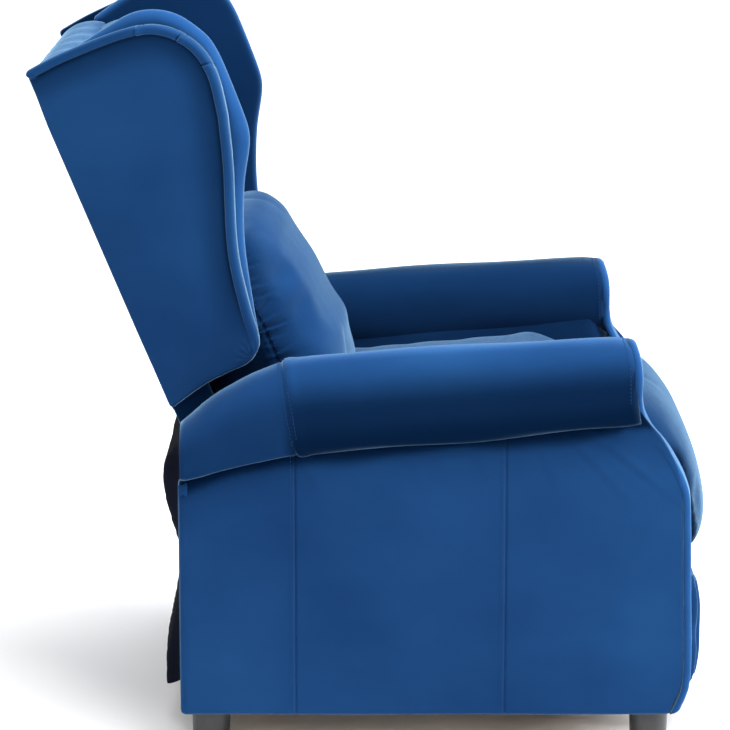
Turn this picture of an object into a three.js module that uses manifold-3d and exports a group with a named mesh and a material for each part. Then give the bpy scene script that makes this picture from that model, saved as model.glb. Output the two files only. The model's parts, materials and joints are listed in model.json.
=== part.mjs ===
// Push-back wing recliner with rolled arms, a lumbar pillow and a scissor footrest.
// Millimetres, +Z up. The chair faces -Y and the sitter's left is +X.
// The origin is on the floor under the middle of the chair's bounding box.
import * as THREE from 'three';
import { mergeVertices } from 'three/addons/utils/BufferGeometryUtils.js';
import Module from 'manifold-3d';

const wasm = await Module();
wasm.setup();

// ---------------------------------------------------------------- driving dimensions
const GAP = 0.3;                     // between pieces that touch
const REAR = 255;                    // rear edge of the arms (Y)
const ARM_INNER = 250;               // inner face of an arm (X)
const ARM_PANEL = [300, 316];        // wooden side panel (X, from and to)
const ARM_OUTER = 332;               // outer face of the upholstered side (X)
const ROLL_CENTRE_X = 295;
const ROLL_RADIUS = 50;
const FRAME_BOTTOM = 56;             // underside of the arms (Z)
const FACING_THICKNESS = 11;
const SIDE_RAIL_INNER = 255;         // inner face of the rails along the bottom of the arms
const REAR_RETURN = { thickness: 9, top: 366 };   // cloth-covered end of an arm
const INNER_PAD_BOTTOM = 302;        // where the arm's inner padding starts, above the seat frame
const LEG_RADIUS = 26.5;
const LEG_X = 288;
const LEG_Y = [-388, 215];

const SEAT_HALF_WIDTH = 243;
const SEAT_RAIL_Z = [262, 300];      // underside and top of the seat frame
const SEAT_FRONT = 434;              // front face of the seat frame (forward)
const SEAT_REAR_Y = 172;

const BACK_PIVOT = { y: 215, z: 330 };
const BACK_FOOT = { y: 269, z: 464 };  // lower rear corner of the back
const BACK_LEAN = THREE.MathUtils.degToRad(22.3);
const BACK_HEIGHT = 500;
const WING_FLARE = THREE.MathUtils.degToRad(13.4);
const WING_REAR_X = 245;             // outer face of a wing at its rear edge
const WING_PANEL = 16;
const WING_PAD = 30;

// Lazy tongs of the footrest, side view. Forward is -Y.
const TONGS = {
  pivot: { forward: 359, up: 230 },  // axis of the drive tube
  rear: 86,                          // drive tube to first crossing
  diamond: 76,                       // crossing to knuckle, both stages
  front: 60,                         // second crossing to the board bracket
  tail: 70,                          // first crossing to the guide pin
  closedAngle: 80,                   // half angle between the links, folded
  openAngle: 20,                     // half angle between the links, extended
  openTilt: 22,                      // rise of the tongs' axis, extended
  boardTurn: 85,                     // turn of the footrest board
};
const LAYER = { plate: [204, 208], lift: [210, 214], guide: [216, 220], bracket: [222, 226] };
const LINK_HALF_WIDTH = 9;
const PIN_RADIUS = 4;
const PIN_CLEARANCE = 0.5;
const BRACKET_X = [208.5, 212.5];    // steel bracket between mechanism plate and back stile
const HEAD_RADIUS = 7;
const HEAD = { gap: 0.4, thickness: 1.2 };
const TUBE_RADIUS = 8;

// ---------------------------------------------------------------- materials
const finish = (color, roughness, metalness = 0) =>
  () => new THREE.MeshStandardMaterial({ color, roughness, metalness });
const velvet = finish(0x23538a, 0.85);
const darkLining = finish(0x101a2c, 0.95);
const timber = finish(0xb58a58, 0.7);
const steel = finish(0x2b2d30, 0.45, 0.8);
const plastic = finish(0x1b1b1d, 0.5);
const webbing = finish(0x3a3a3e, 0.9);

// ---------------------------------------------------------------- geometry helpers
const v2 = (y, z) => new THREE.Vector2(y, z);

/** Closed mesh with shared corners, ready to place or cut. */
function weld(geometry) {
  geometry.deleteAttribute('normal');
  geometry.deleteAttribute('uv');
  const welded = mergeVertices(geometry, 1e-3);
  welded.computeVertexNormals();
  return welded;
}

function toSolid(geometry) {
  return new wasm.Manifold(new wasm.Mesh({
    numProp: 3,
    vertProperties: new Float32Array(geometry.attributes.position.array),
    triVerts: new Uint32Array(geometry.index.array),
  }));
}

function fromSolid(solid) {
  const mesh = solid.getMesh();
  const geometry = new THREE.BufferGeometry();
  geometry.setAttribute('position', new THREE.BufferAttribute(new Float32Array(mesh.vertProperties), 3));
  geometry.setIndex(new THREE.BufferAttribute(new Uint32Array(mesh.triVerts), 1));
  geometry.computeVertexNormals();
  return geometry;
}

const join = (first, ...rest) => fromSolid(rest.reduce((sum, g) => sum.add(toSolid(g)), toSolid(first)));
const cut = (first, ...rest) => fromSolid(rest.reduce((sum, g) => sum.subtract(toSolid(g)), toSolid(first)));
const common = (a, b) => fromSolid(toSolid(a).intersect(toSolid(b)));

/** Extrudes a side view drawn in (Y, Z) along X, with edges rounded by `round`. */
function sideSolid(shape, fromX, toX, round = 0) {
  const geometry = new THREE.ExtrudeGeometry(shape, {
    depth: toX - fromX - 2 * round,
    curveSegments: 8,
    bevelEnabled: round > 0,
    bevelSize: round,
    bevelThickness: round,
    bevelOffset: -round,
    bevelSegments: 3,
  });
  const shapeToChair = new THREE.Matrix4().set(0, 0, 1, fromX + round, 1, 0, 0, 0, 0, 1, 0, 0, 0, 0, 0, 1);
  return weld(geometry.applyMatrix4(shapeToChair));
}

/** Extrudes a front view drawn in (X, Z) along Y. */
function frontSolid(shape, fromY, toY) {
  const options = { depth: toY - fromY, curveSegments: 12, bevelEnabled: false };
  const geometry = new THREE.ExtrudeGeometry(shape, options);
  const shapeToChair = new THREE.Matrix4().set(1, 0, 0, 0, 0, 0, -1, toY, 0, 1, 0, 0, 0, 0, 0, 1);
  return weld(geometry.applyMatrix4(shapeToChair));
}

/** Box between two values on each axis. */
function block([x0, x1], [y0, y1], [z0, z1]) {
  const box = new THREE.BoxGeometry(x1 - x0, y1 - y0, z1 - z0);
  return weld(box.translate((x0 + x1) / 2, (y0 + y1) / 2, (z0 + z1) / 2));
}

/** Round bar along X, centred on (y, z). */
function barX(radius, [x0, x1], y, z, sides = 16) {
  const bar = new THREE.CylinderGeometry(radius, radius, x1 - x0, sides).rotateZ(Math.PI / 2);
  return weld(bar.translate((x0 + x1) / 2, y, z));
}

function mirrored(geometry) {
  const copy = geometry.clone().scale(-1, 1, 1);
  const index = copy.index.array;
  for (let i = 0; i < index.length; i += 3) [index[i], index[i + 1]] = [index[i + 1], index[i]];
  copy.computeVertexNormals();
  return copy;
}

function polygon(points) {
  return new THREE.Shape(points.map(([y, z]) => v2(y, z)));
}

/** Smooth line through (Y, Z) points. */
function smooth(points) {
  const curve = new THREE.SplineCurve(points.map(([y, z]) => v2(y, z)));
  return curve.getPoints(points.length * 3);
}

/** Strip of constant Y thickness behind a smooth line through the points. */
function curvedStrip(points, thickness) {
  const line = smooth(points);
  const behind = line.map((p) => v2(p.x + thickness, p.y)).reverse();
  return new THREE.Shape([...line, ...behind]);
}

/** Rounded slot of a given half width around a path. */
function slotShape(path, halfWidth) {
  const sideOf = (sign) => path.map((p, i) => {
    const before = path[Math.max(i - 1, 0)];
    const after = path[Math.min(i + 1, path.length - 1)];
    const along = after.clone().sub(before).normalize();
    return v2(p.x - sign * along.y * halfWidth, p.y + sign * along.x * halfWidth);
  });
  const cap = (centre, from) => {
    const start = from.clone().sub(centre).angle();
    const turns = [0.25, 0.5, 0.75].map((part) => start - part * Math.PI);
    return turns.map((a) => v2(centre.x + halfWidth * Math.cos(a), centre.y + halfWidth * Math.sin(a)));
  };
  const left = sideOf(1);
  const right = sideOf(-1).reverse();
  const outline = [...left, ...cap(path.at(-1), left.at(-1)), ...right, ...cap(path[0], right.at(-1))];
  return new THREE.Shape(outline);
}

// ---------------------------------------------------------------- scene graph
const chair = new THREE.Group();
const backFrame = new THREE.Group();   // local -Y is into the cushions, local +Z runs up the back
backFrame.position.set(0, BACK_FOOT.y, BACK_FOOT.z);
backFrame.rotation.x = -BACK_LEAN;
chair.add(backFrame);

function add(name, geometry, material, parent = chair) {
  const mesh = new THREE.Mesh(geometry, material());
  mesh.name = name;
  parent.add(mesh);
  return mesh;
}

/** Adds a left piece and its mirror image on the right. */
function addPair(name, geometry, material, parent = chair) {
  add(`${name}_left`, geometry, material, parent);
  add(`${name}_right`, mirrored(geometry), material, parent);
}

// ---------------------------------------------------------------- arms
const ARM_FRONT = [
  [-425, FRAME_BOTTOM], [-440, 95], [-442, 150], [-440, 220], [-437, 340], [-431, 380],
  [-409, 423], [-392, 443], [-377, 466], [-369, 492], [-367, 544], [-360, 575],
];
const ROLL_UNDERSIDE = [[-258, 452], [-151, 442], [90, 417], [REAR - 14, 371]];
// front end of the roll, along its top, the bend over the rear section, rear end
const ROLL_STATIONS = [
  { y: -347, low: 478, high: 572, half: 0.94 }, { y: -335, low: 472, high: 575, half: 1 },
  { y: -150, low: 444, high: 567, half: 1 }, { y: 64, low: 423, high: 552, half: 1 },
  { y: 111, low: 415, high: 546, half: 1 }, { y: 160, low: 401, high: 525, half: 1 },
  { y: 206, low: 386, high: 499, half: 1 }, { y: REAR - 3, low: 368, high: 463, half: 0.9 },
];
const ROLL_FRONT_Z = 525;            // middle of the roll where it meets the facing

/** Side view of the arm below its roll, standing back from the facing and the rear edge. */
function armOutline(rearInset, frontInset, bottom) {
  const front = smooth(ARM_FRONT).filter(({ y: z }) => z < 470 && z > bottom)
    .map(({ x, y: z }) => [x + FACING_THICKNESS + frontInset, z]);
  const rear = REAR - rearInset;
  const top = ROLL_UNDERSIDE.map(([y, z]) => [Math.min(y, rear - 2), z - 1.5]).reverse();
  const rearTop = [rear, REAR_RETURN.top];
  return polygon([[rear, bottom], rearTop, ...top, ...front.reverse(), [front.at(-1)[0], bottom]]);
}

function armRoll() {
  const steps = ROLL_STATIONS.length - 1;
  const tube = new THREE.CylinderGeometry(1, 1, steps, 20, steps);
  const place = tube.attributes.position;
  for (let i = 0; i < place.count; i += 1) {
    const at = ROLL_STATIONS[Math.round(place.getY(i) + steps / 2)];
    const middle = (at.high + at.low) / 2;
    const halfHeight = (at.high - at.low) / 2;
    const x = ROLL_CENTRE_X + ROLL_RADIUS * at.half * place.getX(i);
    place.setXYZ(i, x, at.y, middle + halfHeight * place.getZ(i));
  }
  return weld(tube);
}

function armFacing() {
  const strip = sideSolid(curvedStrip(ARM_FRONT, FACING_THICKNESS), ROLL_CENTRE_X - 60, ROLL_CENTRE_X + 60);
  const innerAngle = Math.PI + Math.acos((ROLL_CENTRE_X - ARM_INNER) / ROLL_RADIUS);
  const outerAngle = -Math.acos((ARM_OUTER - ROLL_CENTRE_X) / ROLL_RADIUS);
  const keyhole = new THREE.Shape();
  keyhole.moveTo(ARM_INNER, 0);
  keyhole.lineTo(ARM_OUTER, 0);
  keyhole.lineTo(ARM_OUTER, ROLL_FRONT_Z + ROLL_RADIUS * Math.sin(outerAngle));
  keyhole.absarc(ROLL_CENTRE_X, ROLL_FRONT_Z, ROLL_RADIUS, outerAngle, innerAngle, false);
  return common(strip, frontSolid(keyhole, -500, -300));
}

function buildArms() {
  const [panelIn, panelOut] = ARM_PANEL;
  const bearer = block([244, panelIn + 1], [-398, REAR - 11], [225, 257.7]);
  addPair('arm_frame', join(sideSolid(armOutline(10, 3, 58), panelIn, panelOut), bearer), timber);
  const side = sideSolid(armOutline(0, GAP, FRAME_BOTTOM - 1), panelOut + GAP, ARM_OUTER);
  const { thickness, top } = REAR_RETURN;
  const rearReturn = block([ARM_INNER, ARM_OUTER - 1], [REAR - thickness, REAR], [FRAME_BOTTOM, top]);
  addPair('arm_outer_panel', join(side, rearReturn), velvet);
  addPair('arm_inner_pad', sideSolid(armOutline(10, 2, INNER_PAD_BOTTOM), ARM_INNER, panelIn - GAP), velvet);
  const bottomRail = block([SIDE_RAIL_INNER, panelIn - GAP], [-412, REAR - 11], [FRAME_BOTTOM, 100]);
  addPair('arm_bottom_rail', bottomRail, timber);
  addPair('arm_roll', armRoll(), velvet);
  addPair('arm_front_facing', armFacing(), velvet);
}

const BASE_CROSS_RAIL = { front: [-322, -300], rear: [196, 218], z: [60, 110] };

function buildBase() {
  const across = [GAP - SIDE_RAIL_INNER, SIDE_RAIL_INNER - GAP];
  add('base_front_rail', block(across, BASE_CROSS_RAIL.front, BASE_CROSS_RAIL.z), timber);
  add('base_rear_rail', block(across, BASE_CROSS_RAIL.rear, BASE_CROSS_RAIL.z), timber);
  const legTop = FRAME_BOTTOM - GAP;
  const profile = [[0, 0], [LEG_RADIUS - 4, 0], [LEG_RADIUS - 2, 3], [LEG_RADIUS, legTop], [0, legTop]];
  const leg = weld(new THREE.LatheGeometry(profile.map(([r, z]) => v2(r, z)), 24).rotateX(Math.PI / 2));
  const [frontY, rearY] = LEG_Y;
  addPair('front_leg', leg.clone().translate(LEG_X, frontY, 0), plastic);
  addPair('rear_leg', leg.clone().translate(LEG_X, rearY, 0), plastic);
}

// ---------------------------------------------------------------- slide between base and seat
const STUD = { z: 281, y: [-250, 120], radius: 5.5, travel: 46 };
const BASE_RAIL = { web: [236, 240], flange: [236, 250], y: [-330, 200], z: [258, 300], thickness: 4 };

function buildSlide() {
  const { web, flange, y, z, thickness } = BASE_RAIL;
  const angleSection = join(block(web, y, z), block(flange, y, [z[0], z[0] + thickness]));
  const slots = STUD.y.map((studY) => {
    const path = [v2(studY + 1, STUD.z), v2(studY - STUD.travel, STUD.z)];
    return sideSolid(slotShape(path, STUD.radius + PIN_CLEARANCE), web[0] - 1, web[1] + 1);
  });
  addPair('base_rail', cut(angleSection, ...slots), steel);
  STUD.y.forEach((studY, i) => {
    const shank = barX(STUD.radius, [232 + GAP, web[1] + 1], studY, STUD.z);
    const head = barX(STUD.radius + 3, [web[1] + 0.5, web[1] + 3], studY, STUD.z);
    addPair(`slide_stud_${['front', 'rear'][i]}`, join(shank, head), steel);
  });
}

// ---------------------------------------------------------------- lazy tongs
const degrees = THREE.MathUtils.degToRad;

/** Joints of the tongs at `t` from 0, folded, to 1, extended, in (Y, Z). */
function tongsAt(t) {
  const half = THREE.MathUtils.lerp(TONGS.closedAngle, TONGS.openAngle, t);
  const tilt = TONGS.openTilt * t;
  const down = v2(-Math.cos(degrees(tilt - half)), Math.sin(degrees(tilt - half)));
  const up = v2(-Math.cos(degrees(tilt + half)), Math.sin(degrees(tilt + half)));
  const from = (point, direction, length) => point.clone().addScaledVector(direction, length);
  const pivot = v2(-TONGS.pivot.forward, TONGS.pivot.up);
  const crossing = from(pivot, down, TONGS.rear);
  const lowerKnuckle = from(crossing, down, TONGS.diamond);
  const upperKnuckle = from(crossing, up, TONGS.diamond);
  const secondCrossing = from(lowerKnuckle, up, TONGS.diamond);
  return {
    pivot, crossing, lowerKnuckle, upperKnuckle, secondCrossing,
    guidePin: from(crossing, up, -TONGS.tail),
    boardPivot: from(secondCrossing, up, TONGS.front),
    stayPin: from(secondCrossing, down, TONGS.front),
  };
}

const SLOT_STEPS = 8;
const folded = tongsAt(0);

/** Path of the guide link's pin, which runs in the mechanism plate. */
const guidePath = Array.from({ length: SLOT_STEPS + 1 }, (_, i) => tongsAt(i / SLOT_STEPS).guidePin);

/** Path of the stay link's pin, seen from the footrest bracket. */
const stayPath = Array.from({ length: SLOT_STEPS + 1 }, (_, i) => {
  const t = i / SLOT_STEPS;
  const now = tongsAt(t);
  // the board turns from facing forward to facing up, which is clockwise in (Y, Z)
  const unturn = degrees(TONGS.boardTurn * t);
  return now.stayPin.clone().sub(now.boardPivot).rotateAround(v2(0, 0), unturn).add(folded.boardPivot);
});

/** Flat bar with round ends through the given points. */
function linkBar(points, [x0, x1]) {
  return sideSolid(slotShape(points, LINK_HALF_WIDTH), x0, x1);
}

const hole = (at, [x0, x1]) => barX(PIN_RADIUS + PIN_CLEARANCE, [x0 - 1, x1 + 1], at.x, at.y, 12);

/** Rivet growing from layer `own`, through layer `other`, with a head beyond it. */
function rivet(at, own, other) {
  const outward = other[0] > own[0];
  const start = outward ? own[0] + 1 : own[1] - 1;
  const headNear = outward ? other[1] + HEAD.gap : other[0] - HEAD.gap;
  const headFar = outward ? headNear + HEAD.thickness : headNear - HEAD.thickness;
  const sorted = (a, b) => [Math.min(a, b), Math.max(a, b)];
  const shank = barX(PIN_RADIUS, sorted(start, headFar), at.x, at.y, 12);
  return [shank, barX(HEAD_RADIUS, sorted(headNear, headFar), at.x, at.y, 12)];
}

function buildTongs() {
  const { pivot, crossing, lowerKnuckle, upperKnuckle } = folded;
  const { secondCrossing, guidePin, boardPivot, stayPin } = folded;
  const { plate, lift, guide, bracket } = LAYER;
  const liftBar = linkBar([pivot, lowerKnuckle], lift);
  const liftRivets = [...rivet(crossing, lift, guide), ...rivet(lowerKnuckle, lift, guide)];
  addPair('lift_link', join(liftBar, ...liftRivets), steel);
  const guideBar = cut(linkBar([guidePin, upperKnuckle], guide), hole(crossing, guide));
  const guideRivets = [...rivet(upperKnuckle, guide, lift), ...rivet(guidePin, guide, plate)];
  addPair('guide_link', join(guideBar, ...guideRivets), steel);
  const stayBar = cut(linkBar([upperKnuckle, stayPin], lift), hole(upperKnuckle, lift));
  const stayRivets = [...rivet(secondCrossing, lift, guide), ...rivet(stayPin, lift, bracket)];
  addPair('stay_link', join(stayBar, ...stayRivets), steel);
  const carryHoles = [hole(lowerKnuckle, guide), hole(secondCrossing, guide), hole(boardPivot, guide)];
  addPair('carry_link', cut(linkBar([lowerKnuckle, boardPivot], guide), ...carryHoles), steel);
  const tubeEnd = lift[0] - GAP;
  add('drive_tube', barX(TUBE_RADIUS, [-tubeEnd, tubeEnd], pivot.x, pivot.y, 20), steel);
}

// ---------------------------------------------------------------- footrest board
const BOARD = { front: 436, back: 424, halfWidth: 232, z: [66, 228] };
const PAD = { front: 460, halfWidth: 240, z: [62, 232], round: 9 };

function buildFootrest() {
  const { bracket, guide } = LAYER;
  const halfWidth = [-BOARD.halfWidth, BOARD.halfWidth];
  add('footrest_board', block(halfWidth, [-BOARD.front, -BOARD.back], BOARD.z), timber);
  const padShape = polygon([
    [-BOARD.front - GAP, PAD.z[0]], [-BOARD.front - GAP, PAD.z[1]], [-453, PAD.z[1] - 4],
    [-PAD.front, 185], [-PAD.front, 110], [-454, PAD.z[0] + 2],
  ]);
  add('footrest_pad', sideSolid(padShape, -PAD.halfWidth, PAD.halfWidth), velvet);
  const tabFront = -BOARD.back + GAP;
  const plateShape = polygon([
    [tabFront, 70], [tabFront, 214], [-404, 217], [-374, 204], [-353, 172], [-349, 142], [-355, 114],
    [-373, 90], [-400, 74],
  ]);
  const screwTab = block([bracket[0] - 16, bracket[1]], [tabFront, tabFront + 2.5], [190, 214]);
  const slot = sideSolid(slotShape(stayPath, PIN_RADIUS + PIN_CLEARANCE), bracket[0] - 1, bracket[1] + 1);
  const plate = cut(sideSolid(plateShape, ...bracket), slot);
  addPair('footrest_bracket', join(plate, screwTab, ...rivet(folded.boardPivot, bracket, guide)), steel);
}

// ---------------------------------------------------------------- seat carriage
/** Flat grid of woven straps in (X, Y), `thickness` thick, lying on Z = 0. */
function strapGrid([x0, x1], [y0, y1], countX, countY, width, thickness) {
  const gapX = (x1 - x0 - countX * width) / (countX - 1);
  const gapY = (y1 - y0 - countY * width) / (countY - 1);
  const windows = [];
  for (let i = 0; i < countX - 1; i += 1) {
    for (let j = 0; j < countY - 1; j += 1) {
      const x = x0 + width + i * (gapX + width);
      const y = y0 + width + j * (gapY + width);
      windows.push(block([x, x + gapX], [y, y + gapY], [-1, thickness + 1]));
    }
  }
  return cut(block([x0, x1], [y0, y1], [0, thickness]), ...windows);
}

function seatCushionShape() {
  const shape = new THREE.Shape();
  const frameFront = -SEAT_FRONT - GAP - 1;
  shape.moveTo(150, 304);
  shape.lineTo(frameFront, 304);
  shape.lineTo(frameFront, 258);
  shape.lineTo(-450, 258);
  shape.splineThru([v2(-460, 282), v2(-461, 326), v2(-455, 365), v2(-440, 405)]);
  shape.splineThru([v2(-416, 446), v2(-382, 474)]);
  shape.splineThru([v2(-345, 482), v2(-250, 474), v2(-100, 460), v2(15, 448)]);
  shape.lineTo(150, 437);
  return shape;
}

function mechanismPlate() {
  const [x0, x1] = LAYER.plate;
  const [railLow, railTop] = SEAT_RAIL_Z;
  const pivot = BACK_PIVOT;
  const outline = polygon([
    [-404, railTop - 1], [-404, 240], [-413, 215], [-413, 120], [-385, 68], [-352, 64],
    [-344, 72], [-344, railLow - 14], [-330, railLow + 2], [195, railLow + 2],
    [pivot.y + 16, railTop], [pivot.y + 18, pivot.z], [pivot.y + 10, pivot.z + 16],
    [pivot.y - 10, pivot.z + 16], [pivot.y - 18, pivot.z], [pivot.y - 24, railTop - 1],
  ]);
  const guideSlot = sideSolid(slotShape(guidePath, PIN_RADIUS + PIN_CLEARANCE), x0 - 1, x1 + 1);
  const tubeHole = barX(TUBE_RADIUS + PIN_CLEARANCE, [x0 - 1, x1 + 1], folded.pivot.x, folded.pivot.y, 20);
  const plate = cut(sideSolid(outline, x0, x1), guideSlot, tubeHole);
  return join(plate, ...rivet(v2(pivot.y, pivot.z), LAYER.plate, BRACKET_X));
}

function buildCarriage() {
  const [plateIn, plateOut] = LAYER.plate;
  const sideRail = block([plateOut + GAP, 232], [-SEAT_FRONT + 22 + GAP, SEAT_REAR_Y], SEAT_RAIL_Z);
  addPair('seat_side_rail', sideRail, timber);
  add('seat_front_rail', block([-232, 232], [-SEAT_FRONT, -SEAT_FRONT + 22], SEAT_RAIL_Z), timber);
  const between = plateIn - GAP;
  add('seat_rear_rail', block([-between, between], [150, SEAT_REAR_Y], SEAT_RAIL_Z), timber);
  const grid = strapGrid([-231, 231], [-SEAT_FRONT, SEAT_REAR_Y], 4, 5, 50, 2.5);
  add('seat_webbing', grid.translate(0, 0, SEAT_RAIL_Z[1] + GAP), webbing);
  add('seat_cushion', sideSolid(seatCushionShape(), -SEAT_HALF_WIDTH, SEAT_HALF_WIDTH), velvet);
  addPair('mechanism_plate', mechanismPlate(), steel);
}

// ---------------------------------------------------------------- back
const PILLOW = { halfWidth: 215, round: 24 };
const HEAD_PAD = { halfWidth: 196, round: 14 };
const STILE = { x: [BRACKET_X[1] + GAP, 231.5], depth: [14, 44], height: [-45, 480] };

/** Side view in the back's own axes, from points (height up the back, depth into the cushions). */
const backOutline = (points) => polygon(points.map(([height, depth]) => [-depth, height]));

function wingOutline() {
  const shape = new THREE.Shape();
  const wide = 1 / Math.cos(WING_FLARE);
  const at = (height, depth) => v2(-depth * wide, height);
  shape.moveTo(0, 0);
  shape.lineTo(0, BACK_HEIGHT);
  shape.splineThru([at(506, 60), at(505, 155), at(488, 203), at(452, 233), at(408, 242), at(350, 233)]);
  shape.splineThru([at(285, 213), at(178, 174), at(96, 158), at(60, 154), at(41, 148), at(28, 134)]);
  shape.splineThru([at(23, 118), at(21, 90), at(16, 55), at(0, 0)]);
  return shape;
}

function wingPadOutline() {
  const shape = new THREE.Shape();
  const wide = 1 / Math.cos(WING_FLARE);
  const at = (height, depth) => v2(-depth * wide, height);
  const first = at(40, 50);
  shape.moveTo(first.x, first.y);
  const top = at(500, 50);
  shape.lineTo(top.x, top.y);
  shape.splineThru([at(513, 112), at(519, 165), at(503, 206), at(470, 233), at(432, 246), at(345, 246)]);
  shape.splineThru([at(306, 240), at(250, 208), at(178, 178), at(96, 156), at(52, 146)]);
  return shape;
}

function buildBack() {
  const [deep0, deep1] = STILE.depth;
  const depthY = [-deep1, -deep0];
  addPair('back_stile', block(STILE.x, depthY, STILE.height), timber, backFrame);
  const railX = [-(STILE.x[0] - GAP), STILE.x[0] - GAP];
  const railInner = [railX[0] + 5, railX[1] - 5];
  add('back_top_rail', block(railX, depthY, [440, 480]), timber, backFrame);
  add('back_lower_rail', block(railInner, depthY, [-30, 10]), timber, backFrame);
  const grid = strapGrid([-231, 231], [-30, 470], 4, 5, 50, 2.5).rotateX(Math.PI / 2);
  add('back_webbing', grid.translate(0, -deep1 - GAP, 0), webbing, backFrame);
  add('outer_back_cover', block([-228, 228], [-10, 0], [-12, 488]), velvet, backFrame);

  const across = (shape, { halfWidth, round }) => sideSolid(shape, -halfWidth, halfWidth, round);
  const pillow = backOutline([
    [-41, 60], [-78, 150], [-98, 222], [-84, 243], [-27, 252], [80, 240], [185, 213], [219, 182],
    [227, 140], [221, 90], [196, 60],
  ]);
  add('lumbar_pillow', across(pillow, PILLOW), velvet, backFrame);
  const head = backOutline([
    [236, 48], [230, 110], [240, 142], [280, 152], [440, 150], [480, 132], [494, 95], [492, 48],
  ]);
  add('head_cushion', across(head, HEAD_PAD), velvet, backFrame);

  const wingAxes = (side) => {
    const group = new THREE.Group();
    group.position.x = side * WING_REAR_X;
    group.rotation.z = side * WING_FLARE;
    backFrame.add(group);
    return group;
  };
  const panel = sideSolid(wingOutline(), -WING_PANEL, 0);
  const pad = sideSolid(wingPadOutline(), -WING_PANEL - WING_PAD, -WING_PANEL - GAP);
  const left = wingAxes(1);
  const right = wingAxes(-1);
  add('wing_panel_left', panel, velvet, left);
  add('wing_panel_right', mirrored(panel), velvet, right);
  add('wing_pad_left', pad, velvet, left);
  add('wing_pad_right', mirrored(pad), velvet, right);
}

function buildBackBrackets() {
  const { y, z } = BACK_PIVOT;
  // from the knuckle up to the foot of the stile, whose front and rear edges lean with the back
  const upTheBack = (height, depth) => {
    const lean = BACK_LEAN;
    return [
      BACK_FOOT.y + height * Math.sin(lean) - depth * Math.cos(lean),
      BACK_FOOT.z + height * Math.cos(lean) + depth * Math.sin(lean),
    ];
  };
  const outline = polygon([
    [y + 17, z - 4], [y + 19, z + 8], upTheBack(-45, 16), upTheBack(60, 16), upTheBack(60, 42),
    upTheBack(-45, 42), [y - 19, z + 8], [y - 17, z - 4], [y - 8, z - 17], [y + 8, z - 17],
  ]);
  const knuckleHole = hole(v2(y, z), BRACKET_X);
  addPair('back_bracket', cut(sideSolid(outline, ...BRACKET_X), knuckleHole), steel);
}

// ---------------------------------------------------------------- rear drape
const DRAPE = { thickness: 4, halfWidth: 240 };

function buildDrape() {
  const hang = [
    [252, 440], [254, 414], [268, 397], [279, 375], [281, 350], [276, 318], [267, 285], [257, 250],
    [260, 200], [271, 145], [279, 95], [281, 56],
  ];
  const { thickness, halfWidth } = DRAPE;
  add('rear_drape', sideSolid(curvedStrip(hang, thickness), -halfWidth, halfWidth), darkLining);
}

buildArms();
buildBase();
buildSlide();
buildCarriage();
buildTongs();
buildFootrest();
buildBack();
buildBackBrackets();
buildDrape();

export default chair;
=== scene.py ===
"""Velvet push-back wing recliner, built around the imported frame."""

import contextlib
import json
import math

import bmesh
import bpy
import numpy as np
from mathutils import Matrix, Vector
from mathutils.bvhtree import BVHTree
from mathutils.geometry import delaunay_2d_cdt


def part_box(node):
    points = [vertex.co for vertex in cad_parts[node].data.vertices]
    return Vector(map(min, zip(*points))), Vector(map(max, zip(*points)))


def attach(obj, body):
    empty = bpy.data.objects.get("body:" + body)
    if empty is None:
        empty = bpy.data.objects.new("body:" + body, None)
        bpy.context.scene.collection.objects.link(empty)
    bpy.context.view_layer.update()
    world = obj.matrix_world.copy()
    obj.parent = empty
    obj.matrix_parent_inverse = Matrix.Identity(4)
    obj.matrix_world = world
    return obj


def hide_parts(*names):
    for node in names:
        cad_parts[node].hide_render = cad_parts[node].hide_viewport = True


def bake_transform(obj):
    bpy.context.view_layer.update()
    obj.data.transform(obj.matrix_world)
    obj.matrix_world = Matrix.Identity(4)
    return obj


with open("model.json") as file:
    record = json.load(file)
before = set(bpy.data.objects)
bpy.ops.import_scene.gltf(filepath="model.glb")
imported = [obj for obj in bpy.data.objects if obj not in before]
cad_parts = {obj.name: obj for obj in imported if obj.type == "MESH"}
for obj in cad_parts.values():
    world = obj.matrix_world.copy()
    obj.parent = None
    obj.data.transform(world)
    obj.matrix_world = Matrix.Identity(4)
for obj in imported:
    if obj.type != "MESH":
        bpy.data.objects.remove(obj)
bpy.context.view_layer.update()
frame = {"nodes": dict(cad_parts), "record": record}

# ---- camera
CAMERA_AT = (-4.443, 0.003, 1.458)   # beside the sitter's right arm, a little above it
CAMERA_PITCH = 12.5                  # degrees below the horizon
CAMERA_LENS = 155.8                  # on a 36 mm sensor


def make_camera():
    data = bpy.data.cameras.new("camera")
    data.sensor_width = 36.0
    data.lens = CAMERA_LENS
    data.clip_end = 60.0
    camera = bpy.data.objects.new("camera", data)
    camera.location = CAMERA_AT
    camera.rotation_euler = (math.radians(90 - CAMERA_PITCH), 0.0, math.radians(-90))
    bpy.context.scene.collection.objects.link(camera)
    bpy.context.scene.camera = camera


make_camera()


# ---- small helpers
def numbers(seed):
    return np.random.default_rng(seed)


def smoothstep(x, low, high):
    t = np.clip((x - low) / (high - low), 0.0, 1.0)
    return t * t * (3 - 2 * t)


def bell(x, width):
    return np.exp(-(x / width) ** 2)


def coords(obj):
    co = np.empty(len(obj.data.vertices) * 3)
    obj.data.vertices.foreach_get("co", co)
    return co.reshape(-1, 3)


def normals(obj):
    no = np.empty(len(obj.data.vertices) * 3)
    obj.data.vertices.foreach_get("normal", no)
    return no.reshape(-1, 3)


def set_coords(obj, co):
    obj.data.vertices.foreach_set("co", np.asarray(co, float).ravel())
    obj.data.update()


@contextlib.contextmanager
def editing(obj):
    """A bmesh of an object, written back when the block ends."""
    work = bmesh.new()
    work.from_mesh(obj.data)
    yield work
    work.to_mesh(obj.data)
    work.free()


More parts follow.
